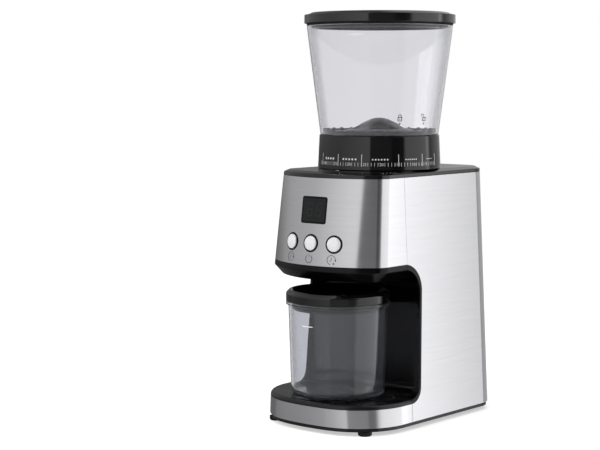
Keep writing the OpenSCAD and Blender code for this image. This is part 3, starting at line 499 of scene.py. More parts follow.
def bay_space(name, walled):
    """The bay's whole space, which flares from its middle towards both sides."""
    s = sizes("body")
    head, flare = half_w(level("head_chin", 1)), 9
    mid, side, out = head - flare, head - s.skin - 0.3, head + 30
    middle, end = bay_outline_sizes(False, walled), bay_outline_sizes(True, walled)
    rows = [(-out, end), (-side, end), (-mid, middle), (mid, middle), (side, end), (out, end)]
    return loft(name, [bay_ring(x, *o) for x, o in rows])


class GRINDER_OT_bay(bpy.types.Operator):
    """Makes the black moulded liner of the container bay"""
    bl_idname = "grinder.bay"
    bl_label = "Container bay"

    def execute(self, context):
        tray, head, play = level("base_band", 1), level("head_chin", 1), 0.02
        liner = bay_space("bay_liner_shell", True)
        cut(liner, bay_space("bay_void", False))
        ends = [rear_chain(z, play) for z in (tray + play, head - play)]
        cut(liner, loft("bay_bounds", ends), "INTERSECT")
        done(soften(liner, 0.5, 3, 35), "body", "deep_abs", "black_moulding", "bay_liner")
        return {"FINISHED"}


# ---------------------------------------------------------------- head


def on_panel(x, z):
    """Frame whose Z leaves the crowned panel squarely at a place on it."""
    s = sizes("body")
    return (Matrix.Translation(Vector((x, panel_face(x, z), z)) * MM)
            @ Matrix.Rotation(math.asin(x / s.crown), 4, "Z")
            @ Matrix.Rotation(math.pi / 2 - s.lean, 4, "X"))


def window_block(name, margin):
    """Rounded block of the display window, standing on the panel."""
    p = sizes("panel")
    w, h, r = p.window_w / 2 + margin, p.window_h / 2 + margin, 2 + margin
    outline = rounded([(-w, -h), (w, -h), (w, h), (-w, h)], r, 6)
    return place(prism(name, outline, -12, 10), on_panel(0, p.window))


class GRINDER_OT_head(bpy.types.Operator):
    """Makes the steel front panel, the black chin under it and the black top cover"""
    bl_idname = "grinder.head"
    bl_label = "Head"

    def execute(self, context):
        s, p = sizes("body"), sizes("panel")
        low, high = level("front_panel", 0), level("front_panel", 1)
        # close rows keep the shading of the crowned skin even round its holes
        levels = [low + (high - low) * k / 32 for k in range(33)]
        panel = plate("panel_skin", [front_chain("head", z, 0, s.seam - s.gap) for z in levels], s.skin)
        cut(panel, window_block("window_cut", 0.15))
        for i in (-1, 0, 1):
            hole = rod("bezel_cut", p.bezel + 0.15, -8, 8, steps=64)
            cut(panel, place(hole, on_panel(i * p.pitch, p.buttons)))
        done(soften(panel, 0.2, 2), "body", "brushed_steel", "brushed_skin", "front_panel")

        under, chin, bevel, wall, spout_r = level("head_chin", 0), low - 5, 9, s.shell + 0.5, 13.15
        rows = [(under, bevel), (chin, 0), (low, 0), (low, wall), (under + wall, bevel + wall / 2)]
        rim = loft("chin_shell", [front_chain("head", z, inset) for z, inset in rows])
        cut(rim, rod("spout_cut", spout_r, under - 9, under + 9, sizes("axes").cup, 96))
        done(soften(rim, 0.9, 4, 25), "body", "deep_abs", "black_moulding", "head_chin")

        top, tuck, neck_r = level("top_cover", 1), s.skin + 0.15, 46
        rows = [(high - 6, tuck), (high, tuck), (high, 0.25), (high + 0.25, 0), (high + 3.3, 0), (top, 5)]
        cover = loft("cover_shell", [full_ring("head", z, inset) for z, inset in rows])
        room = [full_ring("head", z, s.skin + s.shell) for z in (high - 9, top - s.shell)]
        cut(cover, loft("cover_void", room))
        cut(cover, rod("neck_cut", neck_r, high - 20, high + 20, sizes("axes").grind))
        done(soften(cover, 0.8, 4, 25), "body", "gloss_abs", "black_moulding", "top_cover")
        return {"FINISHED"}


# ---------------------------------------------------------------- front controls


def bar(x0, y0, x1, y1, width):
    """Outline of a straight stroke."""
    a, b = Vector((x0, y0)), Vector((x1, y1))
    side = (b - a).normalized().orthogonal() * width / 2
    return [tuple(p) for p in (a - side, b - side, b + side, a + side)]


def hoop(x, y, radius, width, start, end, steps=28):
    """Outline of a round stroke, between two bearings in degrees from the top, clockwise."""
    turn = [math.radians(start + (end - start) * i / steps) for i in range(steps + 1)]
    outer, inner = [[(x + r * math.sin(t), y + r * math.cos(t)) for t in turn]
                    for r in (radius + width / 2, radius - width / 2)]
    return outer + inner[::-1]


def disc(radius, steps=16):
    """Outline of a dot."""
    turn = [2 * math.pi * i / steps for i in range(steps)]
    return [(radius * math.sin(t), radius * math.cos(t)) for t in turn]


def printed(name, frames, outlines, sunk=0.12, proud=0.03):
    """A printed mark: thin flat shapes, mostly sunk in the surface, stamped once at each frame."""
    mark = join([prism(name, outline, -sunk, proud) for outline in outlines], name)
    copies = []
    for matrix in frames:
        copy = mark.copy()
        copy.data = mark.data.copy()
        bpy.context.collection.objects.link(copy)
        copies.append(place(copy, matrix))
    bpy.data.objects.remove(mark, do_unlink=True)
    return join(copies, name)


def numeral(text, size, matrix, sunk=0.12, proud=0.03):
    """A printed number, made a mesh and then placed."""
    deselect()
    bpy.ops.object.text_add()
    obj = bpy.context.object
    obj.data.body, obj.data.size, obj.data.extrude = text, size * MM, (sunk + proud) / 2 * MM
    obj.data.align_x, obj.data.align_y, obj.data.resolution_u = "CENTER", "CENTER", 4
    bpy.ops.object.convert(target="MESH")
    obj = bpy.context.object
    bpy.ops.object.mode_set(mode="EDIT")
    tidy(obj, 1e-6)
    return place(obj, matrix @ Matrix.Translation((0, 0, (proud - sunk) / 2 * MM)))


def timer_icon(plus):
    """Clock face with an arrow round it and a plus or a minus beside it."""
    w = 0.5
    arrow = [hoop(0, 0, 4.25, w, 192, 448), [(3.3, 0.3), (4.3, -1.6), (5.2, 0.4)]]
    hands = [bar(0.1, 2.5, 0, 0, w), bar(0.15, 0.15, -1.3, -1.2, w)]
    sign = [bar(1.3, -3.4, 3.7, -3.4, w)] + ([bar(2.5, -4.6, 2.5, -2.2, w)] if plus else [])
    return arrow + hands + sign


def power_icon():
    """Open circle with an upright stroke in its gap."""
    w = 0.55
    return [hoop(0, -0.2, 3.8, w, 36, 324), bar(0, 1.6, 0, 4.4, w)]


def segments(height, width, stroke):
    """The seven slanted bars of one digit."""
    h, w, gap, slant = height / 2, width / 2, 0.35, 0.13
    flat = [bar(-w + gap, y, w - gap, y, stroke) for y in (-h, 0, h)]
    upright = [bar(x, y0 + gap, x, y0 + h - gap, stroke) for x in (-w, w) for y0 in (-h, 0)]
    return [[(x + slant * y, y) for x, y in shape] for shape in flat + upright]


class GRINDER_OT_controls(bpy.types.Operator):
    """Makes the display window, the bezels, the domed buttons and their icons"""
    bl_idname = "grinder.controls"
    bl_label = "Front controls"

    def execute(self, context):
        p = sizes("panel")
        ends = level("front_panel", 0), level("front_panel", 1)

        def sheet(name, inset, thickness, margin):
            skin = plate(name, [front_chain("head", z, inset) for z in ends], thickness)
            return cut(skin, window_block("window_bounds", margin), "INTERSECT")

        window = sheet("display_glass", 0.1, 2.3, -0.1)
        done(soften(window, 0.35, 3), "body", "display_acrylic", "display_black", "display_window")
        mask = sheet("display_mask", 0.06, 0.1, -0.4)
        cut(mask, window_block("mask_inner", -1.7))
        done(soften(mask, 0), "body", "mask_ink", "display_black")
        sunk = Matrix.Translation((0, 0, -0.09 * MM))
        digit = segments(11.7, 5.6, 1.1)
        digits = [printed("digit", [on_panel(x, p.window + 0.3) @ sunk], digit) for x in (-4, 6.1)]
        done(soften(join(digits, "display_digits"), 0), "body", "unlit_led", "display_black")
        marks = (-p.pitch - 0.4, timer_icon(False)), (-0.8, power_icon()), (p.pitch - 1.4, timer_icon(True))
        icons = [printed("icon", [on_panel(x, p.icons)], shapes) for x, shapes in marks]
        done(soften(join(icons, "button_icons"), 0), "body", "grey_ink", "black_moulding")

        bore, rim, flange, crest = p.button + 0.3, p.bezel, p.bezel + 1.5, 0.55
        profile = rounded([(bore, -5), (rim, -5), (rim, -4.8), (flange, -4.8), (flange, -1.8), (rim, -1.8),
                           (rim, crest), (bore, crest)], {6: 0.5, 7: 0.3})
        spots = [on_panel(i * p.pitch, p.buttons) for i in (-1, 0, 1)]
        rings = [place(lathe("bezel", profile, steps=96), spot) for spot in spots]
        done(soften(join(rings, "bezel_rings"), 0), "body", "deep_abs", "black_moulding", "button_bezels")

        r = p.button - 0.15
        dome = [(r, 0.6), (r - 0.12, 1.05), (r - 0.45, 1.4), (r - 0.9, 1.66), (r * 0.75, 1.98), (r * 0.55, 2.3),
                (r * 0.3, 2.52), (0, 2.6)]
        for spot, body, reach in zip(spots, ("timer_minus", "power", "timer_plus"), (6.9, 9, 6.9)):
            profile = [(0, -reach), (2, -reach), (2, -4), (r, -4)] + dome
            cap = place(lathe(body + "_cap", profile, steps=96, closed=False), spot)
            done(soften(cap, 0), body, "silver_lacquer", "button_metal", body + "_button")
        return {"FINISHED"}


# ---------------------------------------------------------------- adjusting ring


def fan(name, r0, r1, z0, z1, middle, span, centre, steps=24):
    """A sector of a ring, spun from its flat end."""
    obj = begin(name, (r0, 0, z0))
    trace([(r0, 0, z0), (r1, 0, z0), (r1, 0, z1), (r0, 0, z1), (r0, 0, z0)])
    bpy.ops.mesh.select_all(action="SELECT")
    bpy.ops.mesh.remove_doubles(threshold=1e-7)
    bpy.ops.mesh.select_all(action="SELECT")
    bpy.ops.mesh.edge_face_add()
    bpy.ops.mesh.spin(steps=steps, angle=math.radians(span), center=(0, 0, 0), axis=(0, 0, 1))
    tidy(obj)
    xs = [math.atan2(v.co.y, v.co.x) for v in obj.data.vertices]
    start = min(xs) if max(xs) - min(xs) < math.pi * 1.5 else 0
    turn = math.radians(middle - span / 2 - 90) - start
    return place(obj, Matrix.Translation((0, centre * MM, 0)) @ Matrix.Rotation(turn, 4, "Z"))


def radius_at(z, low, high):
    """Radius of a cone at a height; low and high are two of its radii with their heights."""
    (r0, z0), (r1, z1) = low, high
    return r0 + (r1 - r0) * (z - z0) / (z1 - z0)


def on_round(azimuth, z, low, high, centre):
    """Frame whose Z leaves such a cone squarely at an azimuth and a height."""
    r, turn = radius_at(z, low, high), math.radians(azimuth)
    lean = math.atan2(low[0] - high[0], high[1] - low[1])
    return (Matrix.Translation(Vector((r * math.sin(turn), centre - r * math.cos(turn), z)) * MM)
            @ Matrix.Rotation(turn, 4, "Z") @ Matrix.Rotation(math.pi / 2 - lean, 4, "X"))


class GRINDER_OT_ring(bpy.types.Operator):
    """Makes the adjusting ring with its printed scale"""
    bl_idname = "grinder.ring"
    bl_label = "Adjusting ring"

    def execute(self, context):
        a = sizes("axes")
        top = level("top_cover", 1)
        foot, low, high = level("adjusting_ring", 0), top + 0.4, level("adjusting_ring", 1)
        seat, deck, wall = low + 1.6, low + 4.6, 2.5
        # skirt, deck, then the cup for the hopper's neck and the sleeve that turns in the cover
        shell = lathe("ring_shell", rounded([
            (a.ring_foot, low), (a.ring_top, high), (a.ring_top - wall, high), (a.ring_foot - 2.55, deck),
            (45.5, deck), (45.5, high), (43, high), (43, deck), (37, deck), (37, foot), (40, foot), (40, seat),
            (a.ring_foot - wall, seat), (a.ring_foot - wall, low)],
            {0: 0.3, 1: 0.6, 2: 0.3, 5: 0.4, 6: 0.4}), a.grind, 192)
        tabs = [fan("ring_tab", 40, 43.6, seat + 18, seat + 22, turn, 56, a.grind) for turn in (60, 180, 300)]
        ring = join([shell] + tabs, "ring_shell")
        done(soften(ring, 0), "adjuster", "gloss_abs", "black_housing", "adjusting_ring")

        def at(azimuth, height):
            return on_round(azimuth, height, (a.ring_foot, low), (a.ring_top, high), a.grind)

        # 43 steps of 3.1 degrees, with 20 at 39.6 degrees
        turn = {n: 39.6 + (20 - n) * 3.1 for n in range(1, 44)}
        ticks = [at(turn[n], low + 5.5) for n in turn if n % 5]
        zones = [at(azimuth, low + 9.3) for azimuth in (-28, -3.5, 21.3, 55.5, 81, 100.4)]
        marks = [printed("tick", ticks, [bar(0, -1.7, 0, 1.7, 0.4)]),
                 printed("zone", zones, [bar(0, -5.6, 0, 5.6, 0.5)])]
        marks += [numeral(str(n), 4.1, at(turn[n], low + 5.4)) for n in turn if not n % 5]
        # one row of dots for each grind, from coarse to fine
        rows = ((-15.5, 2.2, 4), (9, 1.9, 5), (38.4, 1.6, 6), (68.2, 1.3, 6), (90.7, 1.0, 5))
        for azimuth, dot, count in rows:
            step = math.degrees(1.75 * dot / a.ring_foot)
            row = [at(azimuth + (k - (count - 1) / 2) * step, low + 10.2) for k in range(count)]
            marks.append(printed("grain", row, [disc(dot / 2)]))
        done(soften(join(marks, "ring_scale"), 0), "adjuster", "white_ink", "black_housing")
        pointer = Matrix.Translation((0, (a.grind - a.ring_foot - 4.5) * MM, top * MM))
        index = printed("index_mark", [pointer], [[(-2.2, -2.2), (2.2, -2.2), (0, 2.2)]])
        done(soften(index, 0), "body", "white_ink", "black_moulding")
        return {"FINISHED"}


# ---------------------------------------------------------------- hopper


class GRINDER_OT_hopper(bpy.types.Operator):
    """Makes the clear hopper, its neck and the bean guard in it"""
    bl_idname = "grinder.hopper"
    bl_label = "Bean hopper"

    def execute(self, context):
        a = sizes("axes")
        low, high, ledge = level("hopper", 0), level("hopper", 1), level("hopper_neck", 1)
        ends = (a.foot, low), (a.mouth, high)
        cone = lathe("hopper_wall", rounded([
            (a.foot, low), (a.mouth, high), (a.mouth - a.clear, high), (a.foot - a.clear, low)],
            {0: 0.6, 1: 0.7, 2: 0.7, 3: 0.3}), a.grind, 192)
        done(soften(cone, 0), "bean_hopper", "clear_san", "clear_hopper", "hopper")
        # black band that carries the clear wall, with small ribs on its rim
        inside, crest, ribs = a.foot - a.clear - 0.25, ledge + 1.4, 27
        back = inside - 4.2
        profile = rounded([(back, ledge), (inside, ledge), (inside, crest), (back, crest)], {2: 0.3, 3: 0.3})
        band = [lathe("collar_band", profile, a.grind, 160)]
        for k in range(ribs):
            turn = 10 + 360 * k / ribs
            band.append(fan("collar_rib", inside - 3.4, inside - 0.1, crest - 0.3, crest + 1, turn, 1.1, a.grind, 2))
        done(soften(join(band, "collar_band"), 0), "bean_hopper", "satin_abs", "black_moulding")

        def at(azimuth, height):
            return on_round(azimuth, height, *ends, a.grind)

        # a shut padlock, an open one, and an arrow under each
        w, shut, free = 0.65, 56.4, 82.6
        body = [bar(-2, -1.7, 2, -1.7, w), bar(-2, 1.5, 2, 1.5, w), bar(-1.8, -1.7, -1.8, 1.5, w),
                bar(1.8, -1.7, 1.8, 1.5, w), bar(0, -0.7, 0, 0.4, w)]
        closed = [hoop(0, 2.8, 1.3, w, -90, 90, 12), bar(-1.3, 1.5, -1.3, 2.8, w), bar(1.3, 1.5, 1.3, 2.8, w)]
        opened = [hoop(-2.4, 3.2, 1.3, w, -90, 90, 12), bar(-1.1, 1.5, -1.1, 3.2, w), bar(-3.7, 2.4, -3.7, 3.2, w)]
        arrow = [[(-1.1, 0.9), (1.1, 0.9), (0, -0.9)]]
        marks = [printed("lock_shut", [at(shut, low + 15.6)], body + closed),
                 printed("lock_open", [at(free, low + 15.6)], body + opened),
                 printed("lock_mark", [at(turn, low + 11) for turn in (shut, free)], arrow)]
        done(soften(join(marks, "hopper_marks"), 0), "bean_hopper", "mask_ink", "clear_hopper")
        fill = high - 10
        wall = radius_at(fill, *ends)
        line = fan("hopper_fill_line", wall - 0.1, wall + 0.04, fill - 0.35, fill + 0.35, 19, 10, a.grind)
        done(soften(line, 0), "bean_hopper", "white_ink", "clear_hopper")

        # bell that keeps fingers out and lets beans in by four windows at its foot
        outer = [(32, 0), (32, 1.2), (27.5, 2.6), (21.5, 5.2), (15, 8.6), (9, 11.4), (4.5, 12.7), (0, 13)]
        inner = [(0, 11.2), (4, 10.9), (8.4, 9.7), (14.2, 7), (20.6, 3.6), (26, 1.2), (29, 0)]
        bell = lathe("bean_bell", [(r, ledge + z) for r, z in inner + outer], a.grind, 128, False)
        for middle in (45, 135, 225, 315):
            cut(bell, fan("bell_window", 19.5, 27.5, ledge - 2, ledge + 14, middle, 58, a.grind))
        done(soften(bell, 0.3, 2), "bean_hopper", "satin_abs", "black_moulding", "bean_guard")
        return {"FINISHED"}


class GRINDER_OT_hopper_lid(bpy.types.Operator):
    """Makes the hopper's lid and its seal"""
    bl_idname = "grinder.hopper_lid"
    bl_label = "Hopper lid"

    def execute(self, context):
        a = sizes("axes")
        seat, high = level("hopper_lid", 0) + 10, level("hopper_lid", 1)
        plug, bore = a.mouth - a.clear - 3.5, a.mouth - 2 * a.clear - 3.5
        rim, roof, skirt = seat + 8.5, seat + 7.5, seat - 5
        lid = lathe("lid_shell", rounded([
            (0, high), (a.lid - 7.2, high - 0.05), (a.lid - 3.2, rim), (a.lid, rim - 0.2), (a.lid, seat),
            (plug, seat), (plug, skirt), (bore, skirt), (bore, roof), (0, roof)],
            {1: 3, 2: 0.8, 3: 0.9, 4: 0.5, 6: 0.6, 7: 0.6}), a.grind, 192, False)
        done(soften(lid, 0), "bean_lid", "lid_abs", "black_housing", "hopper_lid")
        # flat under the lid, with one lip that presses on the hopper's wall
        seal = lathe("lid_seal", rounded([
            (a.mouth, seat), (a.mouth, seat - 1.5), (plug + 0.9, seat - 1.5), (plug + 0.6, seat - 2.4),
            (plug + 2, seat - 3), (plug + 0.6, seat - 3.6), (plug, seat - 4), (plug, seat)],
            {0: 0.2, 1: 0.6, 3: 0.4, 4: 0.3, 5: 0.4}, 3), a.grind, 128)
        done(soften(seal, 0), "bean_lid", "rubber", "rubber_black", "hopper_lid_seal")
        return {"FINISHED"}


# ---------------------------------------------------------------- grounds container


class GRINDER_OT_container(bpy.types.Operator):
    """Makes the smoke tinted container and its black lid"""
    bl_idname = "grinder.container"
    bl_label = "Grounds container"

    def execute(self, context):
        a = sizes("axes")
        low, high = level("grounds_container", 0), level("grounds_container", 1)
        r = a.cup_lid

        def wall(z):
            return radius_at(z, (a.cup_foot, low + 4), (a.cup_mouth, high))

        floor, flange = low + 3, high - 3
        cup = lathe("container_wall", rounded([
            (0, low), (wall(low), low), (wall(flange), flange), (r, flange), (r, high),
            (wall(high) - a.clear, high), (wall(floor) - a.clear, floor), (0, floor)],
            {1: 4, 2: 0.8, 3: 0.5, 4: 0.5, 5: 0.5, 6: 4}, 8), a.cup, 160, False)
        done(soften(cup, 0), "container", "smoke_san", "smoke_container", "grounds_container")
        fill = low + 69
        skin = wall(fill)
        line = fan("container_fill_line", skin - 0.1, skin + 0.04, fill - 0.4, fill + 0.4, 1, 15, a.cup)
        done(soften(line, 0), "container", "white_ink", "smoke_container")

        # the lid's raised rim slopes down to a dish with a round hole for the chute
        seat, crest, foot = high + 0.3, level("container_lid", 1), level("container_lid", 0)
        plug, dish, hole = a.cup_mouth - a.clear - 2.5, high + 3.3, 15
        lid = lathe("container_cap", rounded([
            (r, seat), (r, crest - 3), (r - 3, crest), (r - 5, crest), (r - 12, dish), (hole, dish), (hole, seat),
            (plug - 2, seat), (plug - 2, foot), (plug, foot), (plug, seat)],
            {0: 0.6, 1: 2, 2: 1.2, 3: 0.8, 4: 2, 5: 0.8, 6: 0.5, 8: 0.5, 9: 0.5}), a.cup, 160)
        done(soften(lid, 0), "grounds_lid", "gloss_abs", "black_housing", "container_lid")
        return {"FINISHED"}


# ---------------------------------------------------------------- finishes


def linear(value):
    """An sRGB hex value as linear RGBA."""
    parts = [int(value[i:i + 2], 16) / 255 for i in (1, 3, 5)]
    return tuple(c / 12.92 if c <= 0.04045 else ((c + 0.055) / 1.055) ** 2.4 for c in parts) + (1,)


def add(tree, kind, inputs=None, stops=(), **settings):
    """Adds a node with its settings; an input gets a value or the socket that feeds it, and a ramp its stops."""
    node = tree.nodes.new("ShaderNode" + kind)
    for key, value in settings.items():
        setattr(node, key, value)
    for key, value in (inputs or {}).items():
        if isinstance(value, bpy.types.NodeSocket):
            tree.links.new(value, node.inputs[key])
        else:
            node.inputs[key].default_value = value
    for _ in stops[2:]:
        node.color_ramp.elements.new(0.5)
    for element, (position, colour) in zip(node.color_ramp.elements if stops else (), stops):
        element.position, element.color = position, colour
    return node


def shaded(colour, factor):
    """A linear colour made darker or lighter."""
    return tuple(min(1, c * factor) for c in colour[:3]) + (1,)


def noise(tree, scale, size=1, **inputs):
    """A noise over object coordinates in millimetres, scaled along each axis; size is its pitch."""
    at = add(tree, "TexCoord")
    way = add(tree, "Mapping", {"Vector": at.outputs["Object"], "Scale": [1000 * k for k in scale]})
    return add(tree, "TexNoise", {"Vector": way.outputs["Vector"], "Scale": 1 / size, **inputs}).outputs["Fac"]


def finished(tree, colour, rough, tone, gloss, relief, **more):
    """A surface whose colour, roughness and relief follow patterns: each is a pattern and how far it goes."""
    base = linear(colour)
    sets = {"Base Color": base, **more}
    if tone:
        pattern, *stops = tone
        stops = [(place, shaded(base, factor)) for place, factor in stops]
        sets["Base Color"] = add(tree, "ValToRGB", {"Fac": pattern}, stops).outputs["Color"]
    pattern, spread = gloss
    dull = add(tree, "MapRange", {"Value": pattern, "From Min": 0.3, "From Max": 0.7,
                                  "To Min": rough * (1 - spread), "To Max": rough * (1 + spread)})
    pattern, strength, depth = relief
    bump = add(tree, "Bump", {"Height": pattern, "Strength": strength, "Distance": depth * MM})
    sets.update({"Roughness": dull.outputs["Result"], "Normal": bump.outputs["Normal"]})
    return add(tree, "BsdfPrincipled", sets)


def moulded(tree, colour, rough, spread=0.04, grain=0.5, depth=0.004, **more):
    """Injection moulded plastic: even colour, faint flow marks and a fine grain."""
    flow = noise(tree, (0.05, 0.05, 0.05), Detail=2)
    fine = noise(tree, (1, 1, 1), grain, Detail=1)
    tone = (flow, (0.3, 1), (0.7, 1 + 4 * spread)) if spread else None
    return finished(tree, colour, rough, tone, (flow, 0.12), (fine, 0.25, depth), **more)


def brushed(tree, colour, rough, aniso, streak):
    """Sheet steel drawn along a grit belt: fine level scratches, highlights drawn upright."""
    # scratches of a 180 grit belt are near 0.1 mm; they are drawn 1 mm wide and 50 mm long so that they show
    fine = noise(tree, (0.02, 0.02, 0.8), Detail=3, Roughness=0.7)
    broad = noise(tree, (0.006, 0.006, 0.25), Detail=2)
    grain = add(tree, "Tangent", direction_type="RADIAL", axis="Z")
    return finished(tree, colour, rough, (fine, (0.25, 1 - streak), (0.75, 1 + streak)), (broad, 0.05),
                    (fine, 0.03, 0.001), Metallic=1, Anisotropic=aniso, Tangent=grain.outputs["Tangent"],
                    **{"Anisotropic Rotation": 0.25})


def clear_plastic(tree, colour, rough, haze, haze_and_edge_shade_colour, edge):
    """Clear moulded plastic: faint waves from its flow, a light grey haze all over, and painted grey shade that
    deepens where the eye grazes the wall.
    """
    flow, ior = noise(tree, (0.03, 0.03, 0.012), Detail=1), 1.5
    glass = finished(tree, colour, rough, None, (flow, 0.2), (flow, 0.02, 0.1), IOR=ior,
                     **{"Transmission Weight": 1})
    haze_and_edge_shade = add(tree, "BsdfPrincipled", {"Base Color": linear(haze_and_edge_shade_colour), "Roughness": 0.4, "IOR": ior,
                                       "Normal": glass.inputs["Normal"].links[0].from_socket})
    # painted shade: the grey diffuse share rises from the haze to the edge value where the wall is seen edge on
    graze = add(tree, "LayerWeight", {"Blend": 0.5})
    share = add(tree, "MapRange", {"Value": graze.outputs["Facing"], "From Min": 0.5, "From Max": 0.62,
                                   "To Min": haze, "To Max": edge})
    return add(tree, "MixShader", {0: share.outputs[0], 1: glass.outputs[0], 2: haze_and_edge_shade.outputs[0]})


def metal(tree, colour, rough, grain, depth=0.005):
    """Bare metal with fine tool or casting marks; grain is their pitch in millimetres."""
    marks = noise(tree, (1, 1, 1), grain, Detail=2)
    return finished(tree, colour, rough, (marks, (0.3, 0.92), (0.7, 1.08)), (marks, 0.15), (marks, 0.3, depth),
                    Metallic=1)


def wound(tree, colour):
    """Enamelled wire laid in turns 0.6 mm apart, drawn 1 mm apart so that they show, with painted shade in the
    grooves between them.
    """
    at = add(tree, "TexCoord")
    way = add(tree, "Mapping", {"Vector": at.outputs["Object"], "Scale": (1000, 1000, 1000)})
    turns = add(tree, "TexWave", {"Vector": way.outputs["Vector"], "Scale": 0.31, "Distortion": 0.6, "Detail": 1},
                wave_type="BANDS", bands_direction="Z").outputs["Fac"]
    base = linear(colour)
    # painted shade: the grooves between the turns are darkened to 0.35 of the copper's colour
    tone = add(tree, "ValToRGB", {"Fac": turns}, [(0, shaded(base, 0.35)), (0.6, base)])
    bump = add(tree, "Bump", {"Height": turns, "Strength": 0.6, "Distance": 0.2 * MM})
    return add(tree, "BsdfPrincipled", {"Base Color": tone.outputs["Color"], "Metallic": 0.6, "Roughness": 0.3,
                                        "Normal": bump.outputs["Normal"]})


FINISHES = {
    # stainless sheet, belt brushed across: bright along the grain, soft across it
    "brushed_steel": lambda t, f: brushed(t, f.steel, 0.2, 0.9, 0.03),
    # gloss ABS from a polished tool: deep black with clean reflections
    "gloss_abs": lambda t, f: moulded(t, f.black, 0.07, depth=0.001, IOR=1.62),
    # ABS of the bay and chin: the deepest black, with weak reflections
    "deep_abs": lambda t, f: moulded(t, "#030304", 0.18, depth=0.002, IOR=1.33),
    # satin ABS from a lightly textured tool: black with soft, broad highlights
    "satin_abs": lambda t, f: moulded(t, "#0C0C0E", 0.26, grain=0.6, depth=0.01, IOR=1.52),
    # polished ABS of the hopper's lid: black with strong, slightly softer reflections
    "lid_abs": lambda t, f: moulded(t, f.black, 0.1, depth=0.001, IOR=1.7),
    # clear SAN: bright and clean, with painted grey shade where the wall is seen edge on
    "clear_san": lambda t, f: clear_plastic(t, f.clear, 0.015, 0.04, "#8A8A92", 0.22),
    # smoke tinted SAN: the same, with painted grey shade at its edges, under a light grey haze
    "smoke_san": lambda t, f: clear_plastic(t, f.smoke, 0.02, 0.07, "#77787D", 0.14),
    # acrylic window printed black from behind: flat, dark and clean
    "display_acrylic": lambda t, f: moulded(t, "#0C0D0F", 0.05, depth=0.0005, IOR=1.42),
    # ABS caps under silver lacquer: pale, with a soft sheen
    "silver_lacquer": lambda t, f: moulded(t, "#EDEDF0", 0.3, 0, depth=0.002, Metallic=0.25, IOR=1.5),
    # nitrile rubber: dark, dull and slightly dusty
    "rubber": lambda t, f: moulded(t, "#0D0D0F", 0.72, 0.1, 0.8, 0.02, IOR=1.4),
    # turned steel: bright, with fine tool marks
    "turned_steel": lambda t, f: metal(t, "#A9AAAE", 0.3, 0.8),
    # hardened and tempered burr steel: darker, with a satin ground face
    "burr_steel": lambda t, f: metal(t, "#7E8086", 0.36, 1.2),
    # natural acetal: off white and waxy
    "acetal": lambda t, f: moulded(t, "#D9D6CB", 0.42, 0.03, 0.7, 0.006, IOR=1.48),
    # die cast zinc: grey with a fine orange peel
    "cast_zinc": lambda t, f: metal(t, "#8E9094", 0.5, 0.35, 0.03),
    # sintered bronze: warm, porous and dull
    "sintered_bronze": lambda t, f: metal(t, "#9A7444", 0.55, 2.5, 0.02),
    # plated motor steel: grey with a dull shine
    "motor_plate": lambda t, f: metal(t, "#77797D", 0.42, 0.6),
    # enamelled copper wire, wound close: warm, ribbed, shiny, with painted shade between the turns
    "copper_wire": lambda t, f: wound(t, "#B5683A"),
    # glass epoxy board under green lacquer: deep green and smooth
    "board_lacquer": lambda t, f: moulded(t, "#14532B", 0.28, 0.12, 1.4),
    # pad printing inks: matt and even, the grey one with thin spots
    "white_ink": lambda t, f: moulded(t, f.print_white, 0.6, 0, 0.3, 0.002),
    "grey_ink": lambda t, f: moulded(t, f.print_grey, 0.6, 0.1, 0.3, 0.002),
    # unlit diffuser behind the window: just lighter than its surround
    "unlit_led": lambda t, f: moulded(t, "#1B1C1F", 0.3, 0.05, 0.6, 0.002, IOR=1.42),
    # dense black ink printed behind or on clear plastic: matt, darker than the plastic round it
    "mask_ink": lambda t, f: moulded(t, "#060607", 0.5, 0, 0.3, 0.002, IOR=1.3),
}

SLOTS = {
    "brushed_skin": "brushed_steel", "black_housing": "gloss_abs", "black_moulding": "satin_abs",
    "clear_hopper": "clear_san", "smoke_container": "smoke_san", "button_metal": "silver_lacquer",
    "display_black": "display_acrylic", "rubber_black": "rubber", "machined_steel": "turned_steel",
    "burr_steel": "burr_steel", "gear_nylon": "acetal", "gearbox_zinc": "cast_zinc",
    "bush_bronze": "sintered_bronze", "motor_steel": "motor_plate", "copper_winding": "copper_wire",
    "circuit_green": "board_lacquer",
}


class GRINDER_OT_inner(bpy.types.Operator):
    """Gives the frame's own nodes, most of them inside, the finish of their material slot"""
    bl_idname = "grinder.inner"
    bl_label = "Inner pieces"

    def execute(self, context):
        named = {part["node"]: part["material_slot"] for part in frame["record"]["subparts"]}
        for node, obj in frame["nodes"].items():
            for slot in obj.material_slots:
                slot.material = finish(SLOTS[named[node]])
        return {"FINISHED"}


def finish(name):
    """The material of one finish, made once."""
    mat = bpy.data.materials.get(name)
    if mat and mat.get("made"):
        return mat
    mat = bpy.data.materials.new(name)
    mat["made"] = True
    mat.use_nodes = True
    mat.node_tree.nodes.clear()
    shader = FINISHES[name](mat.node_tree, sizes("finishes"))
    add(mat.node_tree, "OutputMaterial", {"Surface": shader.outputs[0]})
    return mat


# ---------------------------------------------------------------- studio


